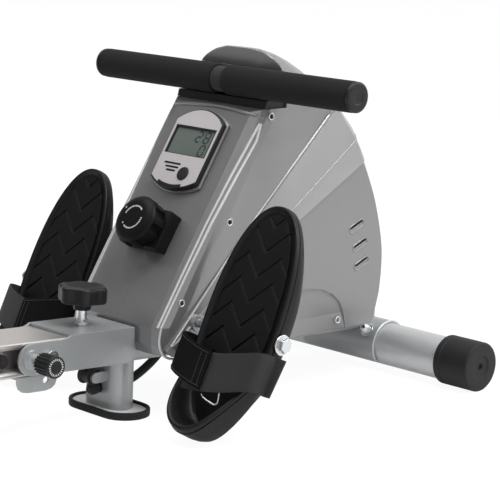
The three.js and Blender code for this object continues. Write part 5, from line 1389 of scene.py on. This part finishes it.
for side_name, side in (("left", 1), ("right", -1)):
    at = MACHINE @ Matrix.Translation((FOOTREST["x"], side * FOOTREST["y"], FOOTREST["z"])) @ Matrix.Rotation(
        FOOT_TILT, 4, "Y")
    pedal, strap = f"pedal_{side_name}", f"foot_strap_{side_name}"
    standing(pedal + "_cup", footrest_body(), moulded_black, pedal, at, 40)
    standing(pedal + "_tread", tread_insert(), tread_rubber, pedal, at, 24, stands_for=False)
    band_run = strap_stations(STRAP_BAND, side, BAND["half"], BAND["twist"])
    flap_run = strap_stations(STRAP_FLAP, side, FLAP["half"])
    standing(strap + "_band", band(band_run, BAND["thick"], 20), black_webbing, strap, at, 40)
    standing(strap + "_flap", band(flap_run, FLAP["thick"], 20), hook_tape, strap, at, 40, stands_for=False)
    rows = [place for share in FLAP["rows"]
            for place in stitch_row(flap_run, share, FLAP["row_from"], FLAP["row_to"], FLAP["stitch_lift"])]
    rows += [place for end in FLAP["cross_rows"]
             for place in stitch_across(flap_run[end], FLAP["stitch_lift"])]
    repeated(strap + "_flap_stitches", stitch_unit(), rows, black_thread, strap, at)
    repeated(strap + "_fold_stitches", stitch_unit(),
             stitch_across(band_run[BAND["fold"]], BAND["stitch_lift"]), black_thread, strap, at)
    wire_path = [Vector((u, side * v, w)) for u, v, w in through(SLIDER, 5)]
    standing(strap + "_slider", swept(wire_path, SLIDER_WIRE, 12, Vector((0, 0, 1))), bright_zinc, strap, at,
             60, stands_for=False)


# Rail: a long aluminium extrusion, brushed along its length, with a groove for
# the seat's rollers down each side, its rubber stop and its plastic end.
def raise_from(material, height):
    """Give a finish another height for its bump."""
    bump = next(node for node in material.node_tree.nodes if node.type == "BUMP")
    material.node_tree.links.new(height, bump.inputs["Height"])


def brushed(name, colour, roughness):
    """Anodised aluminium with fine draw lines along the piece."""
    material = finish(name, colour, roughness, metallic=0.9, grain=1.0, height=0.12, depth=0.00012, wear_and_highlight=0.2,
                      edge=0.0006)
    place = add_node(material.node_tree, "ShaderNodeTexCoord").outputs["Object"]
    stretch = add_node(material.node_tree, "ShaderNodeMapping", {"Vector": place, "Scale": (6, 1600, 1600)})
    lines = add_node(material.node_tree, "ShaderNodeTexNoise",
                     {"Vector": stretch.outputs[0], "Scale": 1, "Detail": 4})
    raise_from(material, lines.outputs["Fac"])
    return material


refined("rail", brushed("rail_aluminium", (0.62, 0.59, 0.575), 0.34))
refined("rail_end_cap", black_plastic)
refined("rail_stop", black_rubber)

# Fold lock: a lobed hand knob over the bracket, and a spring pin with a ribbed
# knob that drops into the hinge plate when the rail is up.
SLOPE = MACHINE @ Matrix.Translation((104, 0, 117)) @ Matrix.Rotation(math.radians(2.16), 4, "Y")
STAR = {"u": -53.5, "wave": 2.2, "lobes": 6, "stem": 26, "full_from": 20}


def lobed(radius, z, angle):
    """The hand knob's radius: lobes above its stem, which fade out towards the middle."""
    if z <= STAR["stem"]:
        return radius
    return radius + STAR["wave"] * math.cos(STAR["lobes"] * angle) * min(1, radius / STAR["full_from"])


star_profile = [(5.4, 20), (11, 20), (11, 27.4), (12, 29), (25.5, 29), (28.6, 30.2), (30, 33), (30, 47),
                (29.2, 49.6), (26.6, 51.4), (23, 52), (16, 51.4), (10, 51.2), (0, 51.2)]
standing("clamp_knob_lobed", turned(eased(star_profile, 0.9), 144, lobed), black_plastic, "clamp_knob",
         SLOPE @ Matrix.Translation((STAR["u"], 0, 0)) @ LIE_FLAT)

PIN = {"u": -165, "w": -24.7, "face": -89.6, "ribs": 18, "marks": 22, "mark_radius": 9.8}
PIN_AT = SLOPE @ Matrix.Translation((PIN["u"], 0, PIN["w"]))
face_y = PIN["face"]
knob_profile = eased([(0, face_y + 0.6), (6.4, face_y + 0.6), (7, face_y), (13.6, face_y),
                      (13.6, face_y + 3.6), (12.2, face_y + 4.4), (12.2, face_y + 26), (10.8, face_y + 28),
                      (4.3, face_y + 28), (4.3, face_y + 8), (0, face_y + 8)], 0.6)
standing("pull_knob_body", turned(knob_profile, 64), black_plastic, "pull_knob", PIN_AT)
rib = slab([(-1.2, 12.0), (-0.75, 13.1), (0, 13.4), (0.75, 13.1), (1.2, 12.0)], 4.2, 27)
rib.transform(Matrix.Translation((0, 0, face_y)))
spots = [((0, 0, 0), (0, 1, 0), (math.cos(a), 0, math.sin(a)))
         for a in turn_steps(PIN["ribs"])]
repeated("pull_knob_ribs", rib, spots, black_plastic, "pull_knob", PIN_AT)
marks = [((PIN["mark_radius"] * math.cos(a), face_y - 0.02, PIN["mark_radius"] * math.sin(a)), (0, -1, 0),
          (math.cos(a), 0, math.sin(a))) for a in turn_steps(PIN["marks"])]
repeated("pull_knob_marks", slab([(-1.4, -0.6), (1.4, -0.6), (1.4, 0.6), (-1.4, 0.6)], -0.05, 0.12), marks,
         pale_print, "pull_knob", PIN_AT)
refined("pull_pin", bright_steel)

# Seat: a crowned vinyl saddle on a board, made by pressing the cloth out from
# a smaller shape, with piping round its edge, on four rollers.
SEAT_U = -700
SEAT_ROLLER = {"reach": 84, "y": 32, "w": -24.1}
PAD = {"u": SEAT_U - 30, "half_length": 118, "half_width": 152, "low": 2.1, "high": 58, "power": 2.9,
       "narrower": 0.1, "channel": 9, "channel_half": 26, "channel_from": 0.6, "rear_rise": 7}
ROLLER_PROFILE = eased([(4.4, -6), (11.5, -6), (13.3, -4.5), (13.3, 4.5), (11.5, 6), (4.4, 6)],
                       0.8) + [(4.4, -6)]
for end, u in (("front", SEAT_U + SEAT_ROLLER["reach"]), ("rear", SEAT_U - SEAT_ROLLER["reach"])):
    for side_name, side in (("left", 1), ("right", -1)):
        node = f"seat_roller_{end}_{side_name}"
        standing(node + "_tyre", turned(ROLLER_PROFILE, 48), black_rubber, node,
                 SLOPE @ Matrix.Translation((u, side * SEAT_ROLLER["y"], SEAT_ROLLER["w"])))


def saddle_ring(scale, rise, sink=0.0, count=96):
    """One level of the saddle: wide behind, drawn in at the front, dished along its middle."""
    ring = []
    for angle in turn_steps(count):
        share = superellipse(angle, PAD["power"])
        u = PAD["half_length"] * scale * share[0]
        y = PAD["half_width"] * scale * share[1] * (1 - PAD["narrower"] * math.cos(angle))
        hollow = PAD["channel"] * math.exp(-((y / PAD["channel_half"]) ** 2))
        channel = hollow * max(rise - PAD["channel_from"], 0) / (1 - PAD["channel_from"])
        rear = PAD["rear_rise"] * ramp(-u, 20, 110) * rise
        height = (PAD["high"] - PAD["low"] - sink) * rise
        ring.append(Vector((PAD["u"] + u, y, PAD["low"] + height - channel + rear)))
    return ring


def vinyl_grain():
    """Soft leather-like cells with creases between them."""
    material = finish("seat_vinyl", (0.012, 0.012, 0.013), 0.44, height=0.35, depth=0.0005, wear_and_highlight=0.15,
                      gloss_change=0.12, shine=0.35)
    place = add_node(material.node_tree, "ShaderNodeTexCoord").outputs["Object"]
    cells = add_node(material.node_tree, "ShaderNodeTexVoronoi", {"Vector": place, "Scale": 700},
                     feature="DISTANCE_TO_EDGE")
    raise_from(material, cells.outputs["Distance"])
    return material


CLOTH = {"voxel": 0.005, "pressure": 4.0, "cap": 0.007, "pinned": 0.014, "frames": 20, "quality": 6,
         "smoothings": 14}


def pressed_out(mesh, voxel, pressure, cap, pinned_below):
    """The pad's cover blown up by cloth pressure, no point further than the cap, then smoothed."""
    piece = bpy.data.objects.new("pad_cloth", mesh)
    bpy.context.scene.collection.objects.link(piece)
    remesh = piece.modifiers.new("voxels", "REMESH")
    remesh.mode = "VOXEL"
    remesh.voxel_size = voxel
    graph = bpy.context.evaluated_depsgraph_get()
    piece.data = bpy.data.meshes.new_from_object(piece.evaluated_get(graph))
    piece.modifiers.clear()
    still = [vert.co.copy() for vert in piece.data.vertices]
    held = piece.vertex_groups.new(name="held")
    held.add([vert.index for vert in piece.data.vertices if vert.co.z < pinned_below], 1.0, "REPLACE")
    cloth = piece.modifiers.new("cover", "CLOTH")
    cloth.settings.vertex_group_mass = "held"
    cloth.settings.use_pressure = True
    cloth.settings.uniform_pressure_force = pressure
    cloth.settings.effector_weights.gravity = 0
    cloth.settings.quality = CLOTH["quality"]
    for step in range(1, CLOTH["frames"] + 1):
        bpy.context.scene.frame_set(step)
    graph = bpy.context.evaluated_depsgraph_get()
    swollen = bpy.data.meshes.new_from_object(piece.evaluated_get(graph))
    for vert, rest in zip(swollen.vertices, still):
        move = vert.co - rest
        if move.length > cap:
            vert.co = rest + move.normalized() * cap
    bpy.context.scene.frame_set(1)
    bpy.data.objects.remove(piece)
    bm = bmesh.new()
    bm.from_mesh(swollen)
    for step in range(CLOTH["smoothings"]):
        bmesh.ops.smooth_vert(bm, verts=bm.verts, factor=0.5, use_axis_x=True, use_axis_y=True,
                              use_axis_z=True)
    bm.to_mesh(swollen)
    bm.free()
    return swollen


PAD_LEVELS = [(0.80, 0), (0.90, 0.02), (0.945, 0.08), (0.955, 0.16), (0.968, 0.3), (0.985, 0.45),
              (0.99, 0.56), (0.975, 0.72), (0.925, 0.86), (0.80, 0.955), (0.55, 1), (0.25, 1)]
pad_mesh = lofted([saddle_ring(scale * 0.985, rise, 3) for scale, rise in PAD_LEVELS])
pad_mesh.transform(SLOPE)
pad_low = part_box("seat_pad")[0].z
pad_mesh = pressed_out(pad_mesh, CLOTH["voxel"], CLOTH["pressure"], CLOTH["cap"],
                       pad_low + CLOTH["pinned"])
seat_vinyl = vinyl_grain()
pad = standing("seat_pad_cover", pad_mesh, seat_vinyl, "seat_pad", HERE, 180)
smoother = pad.modifiers.new("fine", "SUBSURF")
smoother.levels = 1
smoother.render_levels = 1
PIPING = {"scale": 0.944, "rise": 0.14, "radius": 2.1}
piping_ring = saddle_ring(PIPING["scale"], PIPING["rise"], 0, 144)
piping = swept([*piping_ring, piping_ring[0]], PIPING["radius"], 12, Vector((0, 0, 1)))
standing("seat_piping", piping, seat_vinyl, "seat_pad", SLOPE, 80, stands_for=False)
